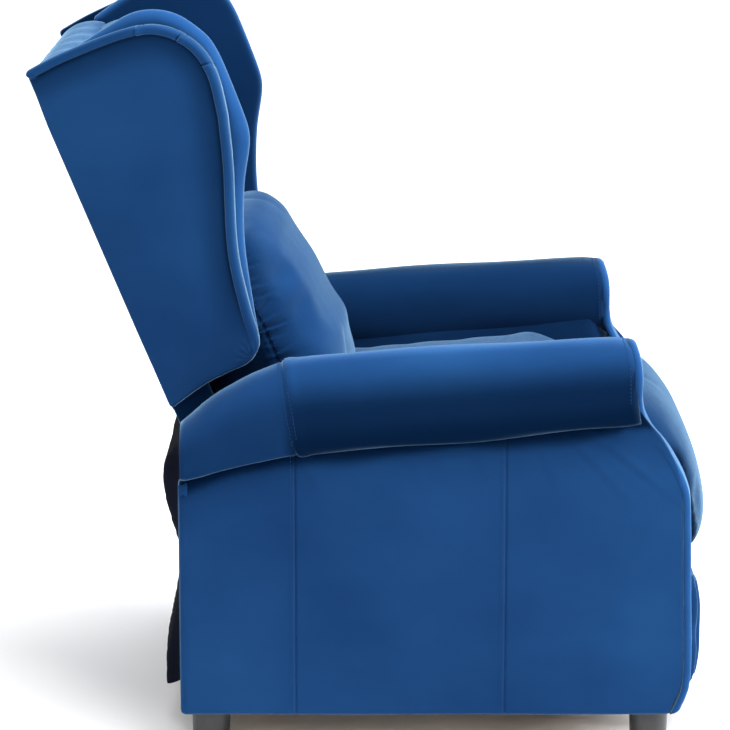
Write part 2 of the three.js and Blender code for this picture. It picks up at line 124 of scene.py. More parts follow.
def new_object(name, points, faces):
    mesh = bpy.data.meshes.new(name)
    mesh.from_pydata([tuple(p) for p in points], [], [tuple(f) for f in faces])
    mesh.validate()
    mesh.shade_smooth()
    obj = bpy.data.objects.new(name, mesh)
    bpy.context.scene.collection.objects.link(obj)
    return obj


def outward(obj):
    """Turns every face outwards on a closed mesh."""
    with editing(obj) as work:
        bmesh.ops.remove_doubles(work, verts=work.verts, dist=1e-6)
        bmesh.ops.recalc_face_normals(work, faces=work.faces)
    obj.data.shade_smooth()
    return obj


def modified(obj, kind, **settings):
    """Adds one modifier and applies it."""
    modifier = obj.modifiers.new(kind.lower(), kind)
    for key, value in settings.items():
        setattr(modifier, key, value)
    apply_modifiers(obj)


def apply_modifiers(obj):
    graph = bpy.context.evaluated_depsgraph_get()
    graph.update()
    done = bpy.data.meshes.new_from_object(obj.evaluated_get(graph))
    obj.modifiers.clear()
    old, obj.data = obj.data, done
    obj.data.name = obj.name
    bpy.data.meshes.remove(old)
    obj.data.shade_smooth()


def tube_faces(rings, around, first=0):
    """Quads between rings of `around` points each, the first of them at index `first`."""
    faces = []
    for base in range(first, first + (rings - 1) * around, around):
        for k in range(around):
            a, b = base + k, base + (k + 1) % around
            faces.append((a, b, b + around, a + around))
    return faces


def grid_faces(rows, columns):
    width = columns + 1
    return [(i * width + k, i * width + k + 1, (i + 1) * width + k + 1, (i + 1) * width + k)
            for i in range(rows) for k in range(columns)]


# ---- reading the frame
def node_mesh(node):
    """Points and faces of a CAD node, with coincident points merged."""
    work = bmesh.new()
    work.from_mesh(frame["nodes"][node].data)
    bmesh.ops.remove_doubles(work, verts=work.verts, dist=5e-5)
    work.verts.index_update()
    points = [v.co.copy() for v in work.verts]
    faces = [(f.normal.copy(), f.calc_area(), [v.index for v in f.verts]) for f in work.faces]
    work.free()
    return points, faces


def broad_face(node, towards):
    """Normal and outline of the flat side of a node that `towards` points to, by its largest triangle."""
    points, faces = node_mesh(node)
    towards = Vector(towards).normalized()
    normal, _, corners = max((face for face in faces if face[0].dot(towards) > 0.7), key=lambda face: face[1])
    height = points[corners[0]].dot(normal)
    on_it = [abs(p.dot(normal) - height) < 2e-4 for p in points]
    edges = set()
    for corners in (c for _, _, c in faces if all(on_it[i] for i in c)):
        for a, b in zip(corners, corners[1:] + corners[:1]):
            if (b, a) in edges:
                edges.remove((b, a))
            else:
                edges.add((a, b))
    following = dict(edges)
    loops = []
    while following:
        start, at = following.popitem()
        loop = [start]
        while at in following:
            loop.append(at)
            at = following.pop(at)
        loops.append(loop)
    return normal, [points[i] for i in max(loops, key=len)]


def spans(node, along, across):
    """Least and greatest `across` of a node's points, by their place `along` it (0, 1, 2 for X, Y, Z)."""
    rows = {}
    for p in node_mesh(node)[0]:
        rows.setdefault(round(p[along], 3), []).append(p[across])
    at = sorted(rows)
    return np.array(at), np.array([min(rows[k]) for k in at]), np.array([max(rows[k]) for k in at])


SHARP_CORNER = 32.0                  # degrees of turn above which an outline keeps its corner


class Plane:
    """Flat axes on a face: u and v across it, n out of it."""

    def __init__(self, origin, n, up):
        self.origin = Vector(origin)
        self.n = Vector(n).normalized()
        self.u = Vector(up).cross(self.n).normalized()
        self.v = self.n.cross(self.u).normalized()

    def flat(self, point):
        rel = Vector(point) - self.origin
        return (rel.dot(self.u), rel.dot(self.v))

    def place(self, u, v, h):
        base = np.array(self.origin)
        u, v, h = (np.asarray(x, float)[..., None] for x in (u, v, h))
        return base + u * np.array(self.u) + v * np.array(self.v) + h * np.array(self.n)

    def measure(self, co):
        """(u, v) of each point, and its height over the plane."""
        rel = co - np.array(self.origin)
        return np.stack([rel @ np.array(self.u), rel @ np.array(self.v)], 1), rel @ np.array(self.n)

    def outline(self, points, spacing, radius, corner=SHARP_CORNER):
        return soft_outline([self.flat(p) for p in points], spacing, radius, corner)


BACK_NORMAL, _back_loop = broad_face("outer_back_cover", (0, 1, -0.4))
INTO_CUSHIONS = -BACK_NORMAL
UP_THE_BACK = Vector((1, 0, 0)).cross(BACK_NORMAL).normalized()
if UP_THE_BACK.z < 0:
    UP_THE_BACK = -UP_THE_BACK
BACK_FOOT = min(_back_loop, key=lambda p: p.z) + UP_THE_BACK * 0.012
BACK_FOOT = Vector((0, BACK_FOOT.y, BACK_FOOT.z))


def on_back(x, height, depth):
    """Point by its place across, up and into the cushions of the back, in metres."""
    return Vector((x, 0, 0)) + BACK_FOOT + UP_THE_BACK * height + INTO_CUSHIONS * depth


# ---- outlines
def smooth_loop(points, spacing, corner):
    """Closed outline resampled to an even spacing, round between its sharp corners."""
    pts = np.array(points, float)
    count = len(pts)
    before, after = pts - np.roll(pts, 1, 0), np.roll(pts, -1, 0) - pts
    turn = np.degrees(np.abs(np.arctan2(
        before[:, 0] * after[:, 1] - before[:, 1] * after[:, 0], (before * after).sum(1))))
    sharp = turn > corner
    tangent = (np.roll(pts, -1, 0) - np.roll(pts, 1, 0)) / 2
    out = []
    for i in range(count):
        j = (i + 1) % count
        a, b = pts[i], pts[j]
        length = np.linalg.norm(b - a)
        ta = (b - a) if sharp[i] else tangent[i] / max(np.linalg.norm(tangent[i]), 1e-9) * length
        tb = (b - a) if sharp[j] else tangent[j] / max(np.linalg.norm(tangent[j]), 1e-9) * length
        steps = max(1, int(round(length / spacing)))
        t = np.arange(steps)[:, None] / steps
        to_b = 3 * t**2 - 2 * t**3
        out.append((1 - to_b) * a + (t**3 - 2 * t**2 + t) * ta + to_b * b + (t**3 - t**2) * tb)
    return np.concatenate(out)


def rounded_corners(loop, radius):
    """Rounds a dense closed outline by local averaging over about `radius`."""
    pts = np.array(loop, float)
    spacing = np.linalg.norm(np.roll(pts, -1, 0) - pts, axis=1).mean()
    for _ in range(int((radius / spacing) ** 2) + 1):
        pts = pts * 0.5 + (np.roll(pts, 1, 0) + np.roll(pts, -1, 0)) * 0.25
    return pts


def soft_outline(points, spacing, radius, corner=SHARP_CORNER):
    return rounded_corners(smooth_loop(points, spacing, corner), radius)


def distance_to(points, line, closed=True):
    """Distance from each point to a polyline and the arc length of the nearest place on it."""
    points, line = np.asarray(points, float), np.asarray(line, float)
    ends = np.roll(line, -1, 0) if closed else line[1:]
    starts = line if closed else line[:-1]
    lengths = np.linalg.norm(ends - starts, axis=1)
    along = np.concatenate([[0], np.cumsum(lengths)])[:-1]
    best = np.full(len(points), 1e9)
    arc = np.zeros(len(points))
    for a, b, length, base in zip(starts, ends, lengths, along):
        d = b - a
        t = np.clip(((points - a) @ d) / max(d @ d, 1e-12), 0, 1)
        gap = np.linalg.norm(points - a - t[:, None] * d, axis=1)
        closer = gap < best
        best[closer] = gap[closer]
        arc[closer] = base + t[closer] * length
    return best, arc


def inside(points, loop):
    """Which points lie inside a closed outline."""
    x, y = points[:, 0], points[:, 1]
    result = np.zeros(len(points), bool)
    for (x0, y0), (x1, y1) in zip(loop, np.roll(loop, -1, 0)):
        crosses = (y0 > y) != (y1 > y)
        if y1 != y0:
            result ^= crosses & (x < (x1 - x0) * (y - y0) / (y1 - y0) + x0)
    return result


def square_to(along):
    """Unit vectors across a line, from the vectors along it."""
    across = np.stack([-along[:, 1], along[:, 0]], 1)
    return across / np.maximum(np.linalg.norm(across, axis=1), 1e-9)[:, None]


def fill_outline(loop, grid, rings, lines=()):
    """Points and triangles that fill an outline, finer along its edge and along each (line, offsets)."""
    loop = np.asarray(loop, float)
    layers = [loop]
    area = np.sum(loop[:, 0] * np.roll(loop[:, 1], -1) - np.roll(loop[:, 0], -1) * loop[:, 1]) / 2
    inward = square_to(np.roll(loop, -1, 0) - np.roll(loop, 1, 0)) * math.copysign(1.0, area)
    for inset in rings:
        ring = loop + inward * inset
        gap, _ = distance_to(ring, loop)
        layers.append(ring[inside(ring, loop) & (gap > inset * 0.93)])
    reach = (rings[-1] if rings else 0) + 0.0012
    clear = []
    for line, offsets in lines:
        line = np.asarray(line, float)
        across = square_to(np.gradient(line, axis=0))
        for offset in offsets:
            for side in ((1, -1) if offset else (1,)):
                row = line + across * offset * side
                gap, _ = distance_to(row, loop)
                layers.append(row[inside(row, loop) & (gap > min(reach, 0.0009))])
        clear.append((line, max(offsets) + grid * 0.35))
    low, high = loop.min(0), loop.max(0)
    rows = np.arange(low[1], high[1], grid * 0.866)
    cells = np.array([(x + (i % 2) * grid / 2, y) for i, y in enumerate(rows)
                      for x in np.arange(low[0], high[0], grid)])
    cells = cells[inside(cells, loop)]
    gap, _ = distance_to(cells, loop)
    cells = cells[gap > reach + grid * 0.5]
    for line, margin in clear:
        gap, _ = distance_to(cells, line, closed=False)
        cells = cells[gap > margin]
    layers.append(cells)
    points = np.concatenate(layers)
    count = len(loop)
    edges = [(i, (i + 1) % count) for i in range(count)]
    verts, _, faces, _, _, _ = delaunay_2d_cdt([Vector(p) for p in points], edges, [], 1, 1e-7)
    return np.array([tuple(v) for v in verts]), faces


SEAM_ROWS = (0.0, 0.0009, 0.0019, 0.0032, 0.0050, 0.0075)


EDGE_ROWS = (0.0012, 0.003, 0.006, 0.010, 0.015)


def level(flat, gap):
    """Heights of an underside that lies flat on its plane."""
    return np.zeros(len(flat))


def padded_panel(name, loop, place, front, back=level, grid=0.007, rings=EDGE_ROWS, lines=()):
    """Closed padded panel. front and back give heights from the points and their distance to the edge."""
    flat, faces = fill_outline(loop, grid, rings, [(line, SEAM_ROWS) for line in lines])
    gap, _ = distance_to(flat, loop)
    on_edge = gap < 1e-6
    top = place(flat[:, 0], flat[:, 1], front(flat, gap))
    bottom = place(flat[:, 0], flat[:, 1], back(flat, gap))
    count = len(flat)
    lower = np.where(on_edge, np.arange(count), np.arange(count) + count)
    faces_down = [tuple(lower[i] for i in reversed(f)) for f in faces]
    points = np.concatenate([top, bottom])
    obj = new_object(name, points, [tuple(f) for f in faces] + faces_down)
    with editing(obj) as work:
        loose = [v for v in work.verts if not v.link_faces]
        bmesh.ops.delete(work, geom=loose, context="VERTS")
        bmesh.ops.recalc_face_normals(work, faces=work.faces)
    obj.data.shade_smooth()
    return obj


def shoulder(gap, radius):
    """Quarter-round rise from an edge, 0 at the edge and 1 from `radius` inwards."""
    t = np.clip(gap / radius, 0, 1)
    return np.sqrt(np.maximum(0, 1 - (1 - t) ** 2))


def crowned(rise, radius, crown, reach):
    """Heights of a plain pad: a round edge and a slow rise towards its middle."""
    return lambda flat, gap: rise * shoulder(gap, radius) + crown * smoothstep(gap, 0.0, reach)


# ---- sewing
def imprint(obj, path, width, depth):
    """Presses a seam line into a surface."""
    gap, _ = distance_to(coords(obj), path, closed=False)
    set_coords(obj, coords(obj) - normals(obj) * (depth * bell(gap, width))[:, None])


def gathers(obj, path, seed, reach, height, pitch, away=None):
    """Short puckers running off a seam, of uneven length and strength."""
    rng = numbers(seed)
    co, no = coords(obj), normals(obj)
    gap, arc = distance_to(co, path, closed=False)
    line = np.asarray(path, float)
    total = np.linalg.norm(np.diff(line, axis=0), axis=1).sum()
    shift = np.zeros(len(co))
    centre = pitch
    while centre < total - pitch:
        strength = rng.uniform(0.3, 1.0)
        length = reach * rng.uniform(0.4, 1.15)
        slant = rng.uniform(-0.35, 0.35)
        width = pitch * rng.uniform(0.16, 0.3)
        across = arc - centre - slant * gap
        fade = smoothstep(-gap, -length, -0.002) * strength
        shift += height * fade * (bell(across, width) - 0.8 * bell(across - 1.7 * width, width))
        centre += pitch * rng.uniform(0.6, 1.4)
    if away is not None:
        shift = shift * away(co)
    set_coords(obj, co + no * shift[:, None])


def on_surface(path, tree, lift=0.0):
    out = []
    for p in path:
        hit, normal, _, _ = tree.find_nearest(Vector(p))
        out.append((hit + normal * lift, normal))
    return out


def surface_tree(obj):
    work = bmesh.new()
    work.from_mesh(obj.data)
    tree = BVHTree.FromBMesh(work)
    work.free()
    return tree


def resample_line(path, spacing):
    line = np.asarray(path, float)
    lengths = np.linalg.norm(np.diff(line, axis=0), axis=1)
    at = np.concatenate([[0], np.cumsum(lengths)])
    count = max(2, int(at[-1] / spacing))
    wanted = np.linspace(0, at[-1], count)
    return np.stack([np.interp(wanted, at, line[:, k]) for k in range(3)], 1)


STITCH = {"length": 0.0034, "pitch": 0.0052, "radius": 0.00045}


def stitching(name, obj, paths, body):
    """Rows of thread stitches lying on a piece."""
    tree = surface_tree(obj)
    points, faces = [], []
    sides, stations = 5, (-1.0, -0.8, 0.0, 0.8, 1.0)
    swell = (0.2, 0.8, 1.0, 0.8, 0.2)
    for path in paths:
        spots = on_surface(resample_line(path, STITCH["pitch"]), tree, lift=STITCH["radius"] * 0.5)
        for (here, normal), (after, _) in zip(spots[:-1], spots[1:]):
            along = after - here
            if along.length < 1e-6:
                continue
            along.normalize()
            across = normal.cross(along).normalized()
            base = len(points)
            for place, size in zip(stations, swell):
                centre = here + along * (place * STITCH["length"] / 2) + normal * (0.0003 * (1 - abs(place)))
                for k in range(sides):
                    turn = 2 * math.pi * k / sides
                    out = across * math.cos(turn) + normal * math.sin(turn)
                    points.append(centre + out * STITCH["radius"] * size)
            faces += tube_faces(len(stations), sides, base)
            faces.append(tuple(base + k for k in reversed(range(sides))))
            end = base + (len(stations) - 1) * sides
            faces.append(tuple(end + k for k in range(sides)))
    give(new_object(name, points, faces), body, material=THREAD)


# ---- cloth
CLOTH_PRESSURE, CLOTH_FRAMES = 4.0, 20


def puff(obj, voxel, cap, round_off, calm=6, hold=None):
    """Inflates a closed soft solid with the cloth solver and keeps it within `cap` of its start."""
    modified(obj, "REMESH", mode="VOXEL", voxel_size=voxel)
    smooth_out(obj, round_off)
    start = coords(obj)
    cloth = obj.modifiers.new("cloth", "CLOTH")
    settings = cloth.settings
    settings.quality = 5
    settings.mass = 0.35
    settings.tension_stiffness = settings.compression_stiffness = 12
    settings.bending_stiffness = 0.8
    settings.use_pressure = True
    settings.uniform_pressure_force = CLOTH_PRESSURE
    settings.effector_weights.gravity = 0
    cloth.collision_settings.use_self_collision = False
    cloth.point_cache.frame_start = 1
    cloth.point_cache.frame_end = CLOTH_FRAMES
    for number in range(1, CLOTH_FRAMES + 1):
        bpy.context.scene.frame_set(number)
    apply_modifiers(obj)
    bpy.context.scene.frame_set(1)
    moved = coords(obj) - start
    far = np.linalg.norm(moved, axis=1)
    limit = cap * (hold(start) if hold else 1.0)
    moved *= (np.minimum(far, limit) / np.maximum(far, 1e-9))[:, None]
    set_coords(obj, start + moved)
    smooth_out(obj, calm)
    modified(obj, "SUBSURF", levels=1, render_levels=1)


def fit_profile(obj, axes, targets, tuck):
    """Scales a puffed cushion about a point of its side view, so that its middle follows `targets`.

    axes: origin and the forward and upward directions; targets: (forward, up) about that origin;
    tuck(x, slope): how much smaller the cushion gets towards its ends; slope is -1 below and 1 above.
    """
    origin, forward, upward = (np.array(v) for v in axes)
    co = coords(obj)
    a, b = (co - origin) @ forward, (co - origin) @ upward
    angle, radius = np.arctan2(b, a), np.hypot(a, b)
    wanted = sorted((math.atan2(v, u), math.hypot(u, v)) for u, v in targets)
    low, high = wanted[0][0], wanted[-1][0]
    middle = np.abs(co[:, 0]) < 0.08
    steps = np.linspace(low, high, 40)
    width = (high - low) / 30
    have = np.array([radius[middle & (np.abs(angle - step) < width)].max() for step in steps])
    ratios = np.interp(steps, [w[0] for w in wanted], [w[1] for w in wanted]) / have
    for _ in range(12):
        ratios = np.convolve(np.pad(ratios, 1, mode="edge"), (0.25, 0.5, 0.25), mode="valid")
    ratio = np.interp(angle, steps, ratios)
    edge = smoothstep(angle, low - 0.35, low) * (1 - smoothstep(angle, high, high + 0.35))
    tucked = tuck(np.abs(co[:, 0]), b / np.maximum(radius, 1e-6))
    scale = 1 + edge * (ratio * (1 - tucked) - 1)
    set_coords(obj, co + (scale - 1)[:, None] * (a[:, None] * forward + b[:, None] * upward))


def smooth_out(obj, times):
    modified(obj, "SMOOTH", factor=0.6, iterations=times)


def copy_of(node, name, shrink=(1, 1, 1)):
    source = frame["nodes"][node]
    obj = bpy.data.objects.new(name, source.data.copy())
    obj.data.materials.clear()
    bpy.context.scene.collection.objects.link(obj)
    with editing(obj) as work:
        bmesh.ops.remove_doubles(work, verts=work.verts, dist=1e-5)
    co = coords(obj)
    middle = (co.min(0) + co.max(0)) / 2
    set_coords(obj, middle + (co - middle) * np.array(shrink))
    return obj


# ---- materials
class Nodes:
    """Small builder for shader nodes."""

    def __init__(self, name):
        self.material = bpy.data.materials.new(name)
        self.material.use_nodes = True
        self.tree = self.material.node_tree
        self.shader = self.tree.nodes["Principled BSDF"]

    def add(self, kind, **inputs):
        node = self.tree.nodes.new(kind)
        for key, value in inputs.items():
            if key in node.inputs:
                self.set(node.inputs[key], value)
            else:
                setattr(node, key, value)
        return node

    def set(self, socket, value):
        if isinstance(value, bpy.types.NodeSocket):
            self.tree.links.new(value, socket)
        else:
            socket.default_value = value

    def noise(self, scale, detail=3.0, roughness=0.5, stretch=None):
        node = self.add("ShaderNodeTexNoise", Vector=self.coordinates(stretch), Scale=scale, Detail=detail,
                        Roughness=roughness)
        return node.outputs["Fac"]

    def coordinates(self, stretch=None):
        place = self.add("ShaderNodeTexCoord").outputs["Object"]
        if stretch is None:
            return place
        return self.add("ShaderNodeMapping", Vector=place, Scale=stretch).outputs["Vector"]

    def ramp(self, factor, stops):
        node = self.add("ShaderNodeValToRGB", Fac=factor)
        ramp = node.color_ramp
        while len(ramp.elements) < len(stops):
            ramp.elements.new(0.5)
        for element, (place, color) in zip(ramp.elements, stops):
            element.position = place
            element.color = (*color, 1)
        return node.outputs["Color"]

    def mix(self, factor, color, other):
        """From the linked colour to a fixed one, also beyond both."""
        node = self.tree.nodes.new("ShaderNodeMix")
        node.data_type = "RGBA"
        node.clamp_factor = False
        self.set(node.inputs[0], factor)
        self.set(node.inputs[6], color)
        self.set(node.inputs[7], (*other, 1))
        return node.outputs[2]

    def wave(self, scale, direction, stretch=None, **inputs):
        node = self.add("ShaderNodeTexWave", Vector=self.coordinates(stretch), Scale=scale,
                        bands_direction=direction, **inputs)
        return node.outputs["Fac"]

    def math(self, operation, a, b):
        node = self.tree.nodes.new("ShaderNodeMath")
        node.operation = operation
        self.set(node.inputs[0], a)
        self.set(node.inputs[1], b)
        return node.outputs[0]

    def scaled(self, value, factor, base):
        return self.math("ADD", self.math("MULTIPLY", value, factor), base)

    def surface(self, color, roughness, others=()):
        for name, value in {"Base Color": color, "Roughness": roughness, **dict(others)}.items():
            self.set(self.shader.inputs[name], value)

    def bump(self, *layers):
        """Stacks (height, distance) layers of bump onto the shader."""
        normal = None
        for height, distance in layers:
            node = self.add("ShaderNodeBump", Height=height, Distance=distance, Strength=1.0)
            if normal is not None:
                self.set(node.inputs["Normal"], normal)
            normal = node.outputs["Normal"]
        self.set(self.shader.inputs["Normal"], normal)


VELVET = {"deep": (0.0058, 0.029, 0.098), "mid": (0.0080, 0.0395, 0.124), "light": (0.0110, 0.053, 0.155)}
PAINTED_SHADE_COLOR = (0.0006, 0.0065, 0.025)    # painted shade colour: the velvet is mixed towards it where shade is painted


def velvet(m):
    """Short cut pile: soft lighter and darker swathes, faint brush marks and a bright grazing sheen."""
    broad = m.noise(2.2, detail=2.0, roughness=0.45)
    patches = m.noise(7.0, detail=3.0, roughness=0.5, stretch=(1.0, 0.8, 1.3))
    brushed = m.noise(70.0, detail=2.0, roughness=0.6, stretch=(1.0, 0.5, 0.5))
    blend = m.math("ADD", m.math("MULTIPLY", broad, 0.6), m.math("MULTIPLY", patches, 0.32))
    blend = m.math("ADD", blend, m.math("MULTIPLY", brushed, 0.08))
    color = m.ramp(blend, [(0.32, VELVET["deep"]), (0.5, VELVET["mid"]), (0.70, VELVET["light"])])
    # the point attribute read here mixes the velvet towards the painted shade colour where shade is painted,
    # and below 0 away from it as a painted highlight
    painted_light = m.add("ShaderNodeAttribute", attribute_name="painted_light").outputs["Fac"]
    m.surface(m.mix(painted_light, color, PAINTED_SHADE_COLOR), m.scaled(patches, 0.14, 0.72), {
        "Specular IOR Level": 0.0, "Sheen Weight": 0.6, "Sheen Roughness": 0.34,
        "Sheen Tint": (0.42, 0.72, 1.0, 1)})
    pile = m.noise(1400.0, detail=2.0, roughness=0.7)
    crush = m.noise(38.0, detail=3.0, roughness=0.5)
    m.bump((crush, 0.0006), (pile, 0.00022))


def lining(m):
    weave = m.math("MULTIPLY", m.wave(420.0, "X"), m.wave(420.0, "Z"))
    # very dark blue: the drape's own dark lining, made darker still as painted shade for the inside of the
    # hanging flap
    color = m.ramp(m.noise(7.0, detail=3.0), [(0.3, (0.0012, 0.0022, 0.0065)), (0.7, (0.003, 0.005, 0.013))])
    m.surface(color, 0.92, {"Specular IOR Level": 0.05})
    m.bump((weave, 0.0002))


def thread(m):
    color = m.ramp(m.wave(900.0, "DIAGONAL"), [(0.2, (0.003, 0.017, 0.062)), (0.8, (0.012, 0.055, 0.17))])
    m.surface(color, 0.6, {"Specular IOR Level": 0.15})


def moulded(m):
    shade = m.noise(40.0, detail=2.0)
    color = m.ramp(shade, [(0.3, (0.012, 0.012, 0.013)), (0.7, (0.022, 0.022, 0.024))])
    m.surface(color, m.scaled(shade, 0.2, 0.32))
    m.bump((m.noise(900.0, detail=1.0), 0.00012))


def timber(m):
    rings = m.wave(14.0, "DIAGONAL", stretch=(0.05, 1.0, 1.0), Distortion=3.5, Detail=3.0)
    pores = m.noise(260.0, detail=3.0, stretch=(0.04, 1.0, 1.0))
    grain = m.math("ADD", m.math("MULTIPLY", rings, 0.6), m.math("MULTIPLY", pores, 0.4))
    color = m.ramp(grain, [(0.2, (0.33, 0.19, 0.09)), (0.55, (0.52, 0.34, 0.18)), (0.85, (0.63, 0.45, 0.27))])
    m.surface(color, m.scaled(grain, 0.2, 0.5))
    m.bump((grain, 0.0003))


def coated_steel(m):
    color = m.ramp(m.noise(18.0, detail=4.0), [(0.3, (0.018, 0.018, 0.02)), (0.75, (0.04, 0.04, 0.043))])
    m.surface(color, m.scaled(m.noise(300.0), 0.25, 0.3), {"Metallic": 0.6})
    m.bump((m.noise(700.0, detail=2.0), 0.00015))


def strap_cloth(m):
    weave = m.math("MULTIPLY", m.wave(130.0, "X"), m.wave(130.0, "Y"))
    m.surface(m.ramp(weave, [(0.2, (0.02, 0.02, 0.022)), (0.8, (0.10, 0.10, 0.105))]), 0.85)
    m.bump((weave, 0.0005))


def finished(name, recipe):
    m = Nodes(name)
    recipe(m)
    return m.material


THREAD = finished("thread_blue", thread)
RECIPES = {"velvet_blue": velvet, "lining_dark": lining, "webbing": strap_cloth, "leg_plastic": moulded,
           "frame_timber": timber, "mechanism_steel": coated_steel}
BY_SLOT = {slot: finished(slot, recipe) for slot, recipe in RECIPES.items()}


def dress_frame():
    for part in frame["record"]["subparts"]:
        mesh = frame["nodes"][part["node"]].data
        mesh.materials.clear()
        mesh.materials.append(BY_SLOT[part["material_slot"]])


def give(obj, body, replaces=(), slot="velvet_blue", material=None):
    """Body, frame nodes and material of a finished piece."""
    obj.data.materials.clear()
    obj.data.materials.append(material or BY_SLOT[slot])
    if body:
        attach(obj, body)
    if replaces:
        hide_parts(*replaces)


def paint_light_and_shade(obj, amount):
    """Paints light and shade into the velvet: how far each point is darkened towards the painted shade colour
    (up to 1) or lightened as a painted highlight (below 0).
    """
    layer = obj.data.attributes.new("painted_light", "FLOAT", "POINT")
    layer.data.foreach_set("value", np.full(len(obj.data.vertices), amount, np.float32))


# ---- arms
SIDES = (("left", 1.0), ("right", -1.0))
ARM_PANEL_INNER_X, ARM_PANEL_DEPTH = 0.316, 0.0162
ARM_REAR_X, ARM_REAR_DEPTH = (0.2505, 0.3305), 0.0125
INNER_PAD_BACK_X, INNER_PAD_DEPTH = 0.2995, 0.0485
FACING_X = (0.250, 0.332)              # inner and outer edge of the facing, below its round head
ARM_SEAMS_Y = (0.097, -0.187)          # vertical topstitched seams of the side panel
ROLL_SEAM_Y = (0.116, 0.093)           # across the roll, at its top and at its underside
STITCH_OFFSET = 0.0062                 # topstitching behind a seam
PUCKERS = (                            # (y, height, lean) of the folds that start under the roll
    (0.17, 0.0012, 0.6), (0.125, 0.0009, -0.3), (0.085, 0.0016, 0.5), (0.02, 0.0007, 0.3),
    (-0.06, 0.0009, 0.4), (-0.15, 0.0007, 0.5), (-0.24, 0.0010, 0.4), (-0.30, 0.0016, 0.9),
    (-0.345, 0.0020, 1.2))


def facing_front(side):
    """Y of the arm's front edge by height, from the facing's front corners."""
    z, y, _ = spans(f"arm_front_facing_{side}", 2, 1)
    keep = [i for i in range(len(z)) if i in (0, len(z) - 1) or y[i] <= max(y[i - 1], y[i + 1]) + 0.0005]
    return z[keep], y[keep]


FACING_Z, FACING_Y = facing_front("left")
FACING_THICK = 0.011


def front_y(z):
    return np.interp(z, FACING_Z, FACING_Y)


def make_side_panel(side, sign):
    node = f"arm_outer_panel_{side}"
    _, loop = broad_face(node, (sign, 0, 0))
    plane = Plane((sign * ARM_PANEL_INNER_X, 0, 0), (sign, 0, 0), (0, 0, 1))
    foot, rear = min(p.z for p in loop), max(p.y for p in loop)
    tucked = [(0, p.y, p.z + 0.020 * smoothstep(p.z, 0.33, 0.36)) for p in loop]      # up under the roll
    outline = plane.outline(tucked, 0.005, 0.003)
    to_y = -1.0 if plane.u.y < 0 else 1.0

    def front(flat, gap):
        y, z = flat[:, 0] * to_y, flat[:, 1]
        soft = smoothstep(y, rear - 0.05, rear - 0.02) + smoothstep(-z, -foot - 0.05, -foot - 0.02)
        radius = 0.0016 + 0.0050 * np.clip(soft, 0, 1)
        h = ARM_PANEL_DEPTH * (0.35 + 0.65 * shoulder(gap, radius)) + 0.0030 * smoothstep(gap, 0.0, 0.10)
        for seam in ARM_SEAMS_Y:
            away = y - seam
            h -= 0.0024 * bell(away, 0.0013)
            h += 0.0009 * smoothstep(away, 0.0, 0.003) * bell(away - 0.004, 0.012)
            h -= 0.0007 * bell(away - STITCH_OFFSET, 0.0011)
        below = np.interp(y, y_at, low_at) - z
        h -= 0.0045 * (1 - smoothstep(below, 0.0, 0.028)) * smoothstep(y, -0.35, -0.31)
        edge = rear - 0.010 * smoothstep(z, 0.02, 0.40) - 0.003
        h -= 0.0022 * bell(y - edge, 0.0016)
        shadow = smoothstep(z, 0.33, 0.43)
        for centre, strength, lean in PUCKERS:
            away = y - centre - lean * (z - 0.42)
            h += shadow * strength * (bell(away, 0.006) - 0.7 * bell(away - 0.011, 0.007))
        h += 0.0009 * np.sin(y * 21 + 1.3) * np.sin(z * 17 + 0.4)
        return h

    seams = [np.array([(seam * to_y, z) for z in np.arange(foot, 0.48, 0.004)]) for seam in ARM_SEAMS_Y]
    y_at, low_at, _ = roll_stations(side)
    obj = padded_panel(f"arm_side_{side}", outline, plane.place, front, grid=0.006, lines=seams)
    co = coords(obj)
    # painted shadow under the roll: the side panel is darkened in a band just below the roll's underside,
    # fading downwards
    below = np.interp(co[:, 1], y_at, low_at) - co[:, 2]
    reach = 0.013 + 0.004 * np.sin(co[:, 1] * 23 + 0.8) + 0.001 * np.sin(co[:, 1] * 61)
    painted_hollow_shade = 1 - smoothstep(below, 0.002, reach * 1.5)
    paint_light_and_shade(obj, np.clip(0.8 * painted_hollow_shade + 0.22 * (1 - smoothstep(below, 0.0, 0.07)), 0, 1))
    give(obj, "base", [node])
    rows = [[(sign * 0.336, seam + STITCH_OFFSET, z) for z in np.linspace(foot + 0.006, 0.425, 60)]
            for seam in ARM_SEAMS_Y]
    stitching(f"arm_side_stitching_{side}", obj, rows, "base")


def make_arm_rear(side, sign):
    low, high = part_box(f"arm_outer_panel_{side}")
    roll_end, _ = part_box(f"arm_roll_{side}")
    (inner, outer), foot, top = ARM_REAR_X, low.z + 0.001, roll_end.z + 0.016
    plane = Plane((0, high.y - ARM_REAR_DEPTH, 0), (0, 1, 0), (0, 0, 1))
    corners = [(inner, foot), (outer, foot), (outer, top), (inner, top)]
    outline = plane.outline([(sign * x, 0, z) for x, z in corners], 0.006, 0.005)
    heights = crowned(ARM_REAR_DEPTH, 0.006, 0.002, 0.04)
    obj = padded_panel(f"arm_rear_{side}", outline, plane.place, heights, grid=0.009)
    give(obj, "base")


def make_inner_pad(side, sign):
    node = f"arm_inner_pad_{side}"
    _, loop = broad_face(node, (-sign, 0, 0))
    plane = Plane((sign * INNER_PAD_BACK_X, 0, 0), (-sign, 0, 0), (0, 0, 1))
    flat_loop = [plane.flat(p) for p in loop]
    top = np.mean([v for _, v in flat_loop])
    lifted = [(u, v + (0.055 if v > top else 0.0)) for u, v in flat_loop]
    to_y = -1.0 if plane.u.y < 0 else 1.0
    outline = soft_outline(lifted, 0.007, 0.006)
    outline[:, 0] = to_y * np.maximum(outline[:, 0] * to_y, front_y(outline[:, 1]) + FACING_THICK + 0.001)
    obj = padded_panel(f"arm_inner_{side}", outline, plane.place, crowned(INNER_PAD_DEPTH, 0.02, 0.002, 0.09),
                       grid=0.010, rings=(0.002, 0.006, 0.012, 0.020))
    # painted shade: the inner arm pad is darkened all over
    paint_light_and_shade(obj, 0.6)
    give(obj, "base", [node])


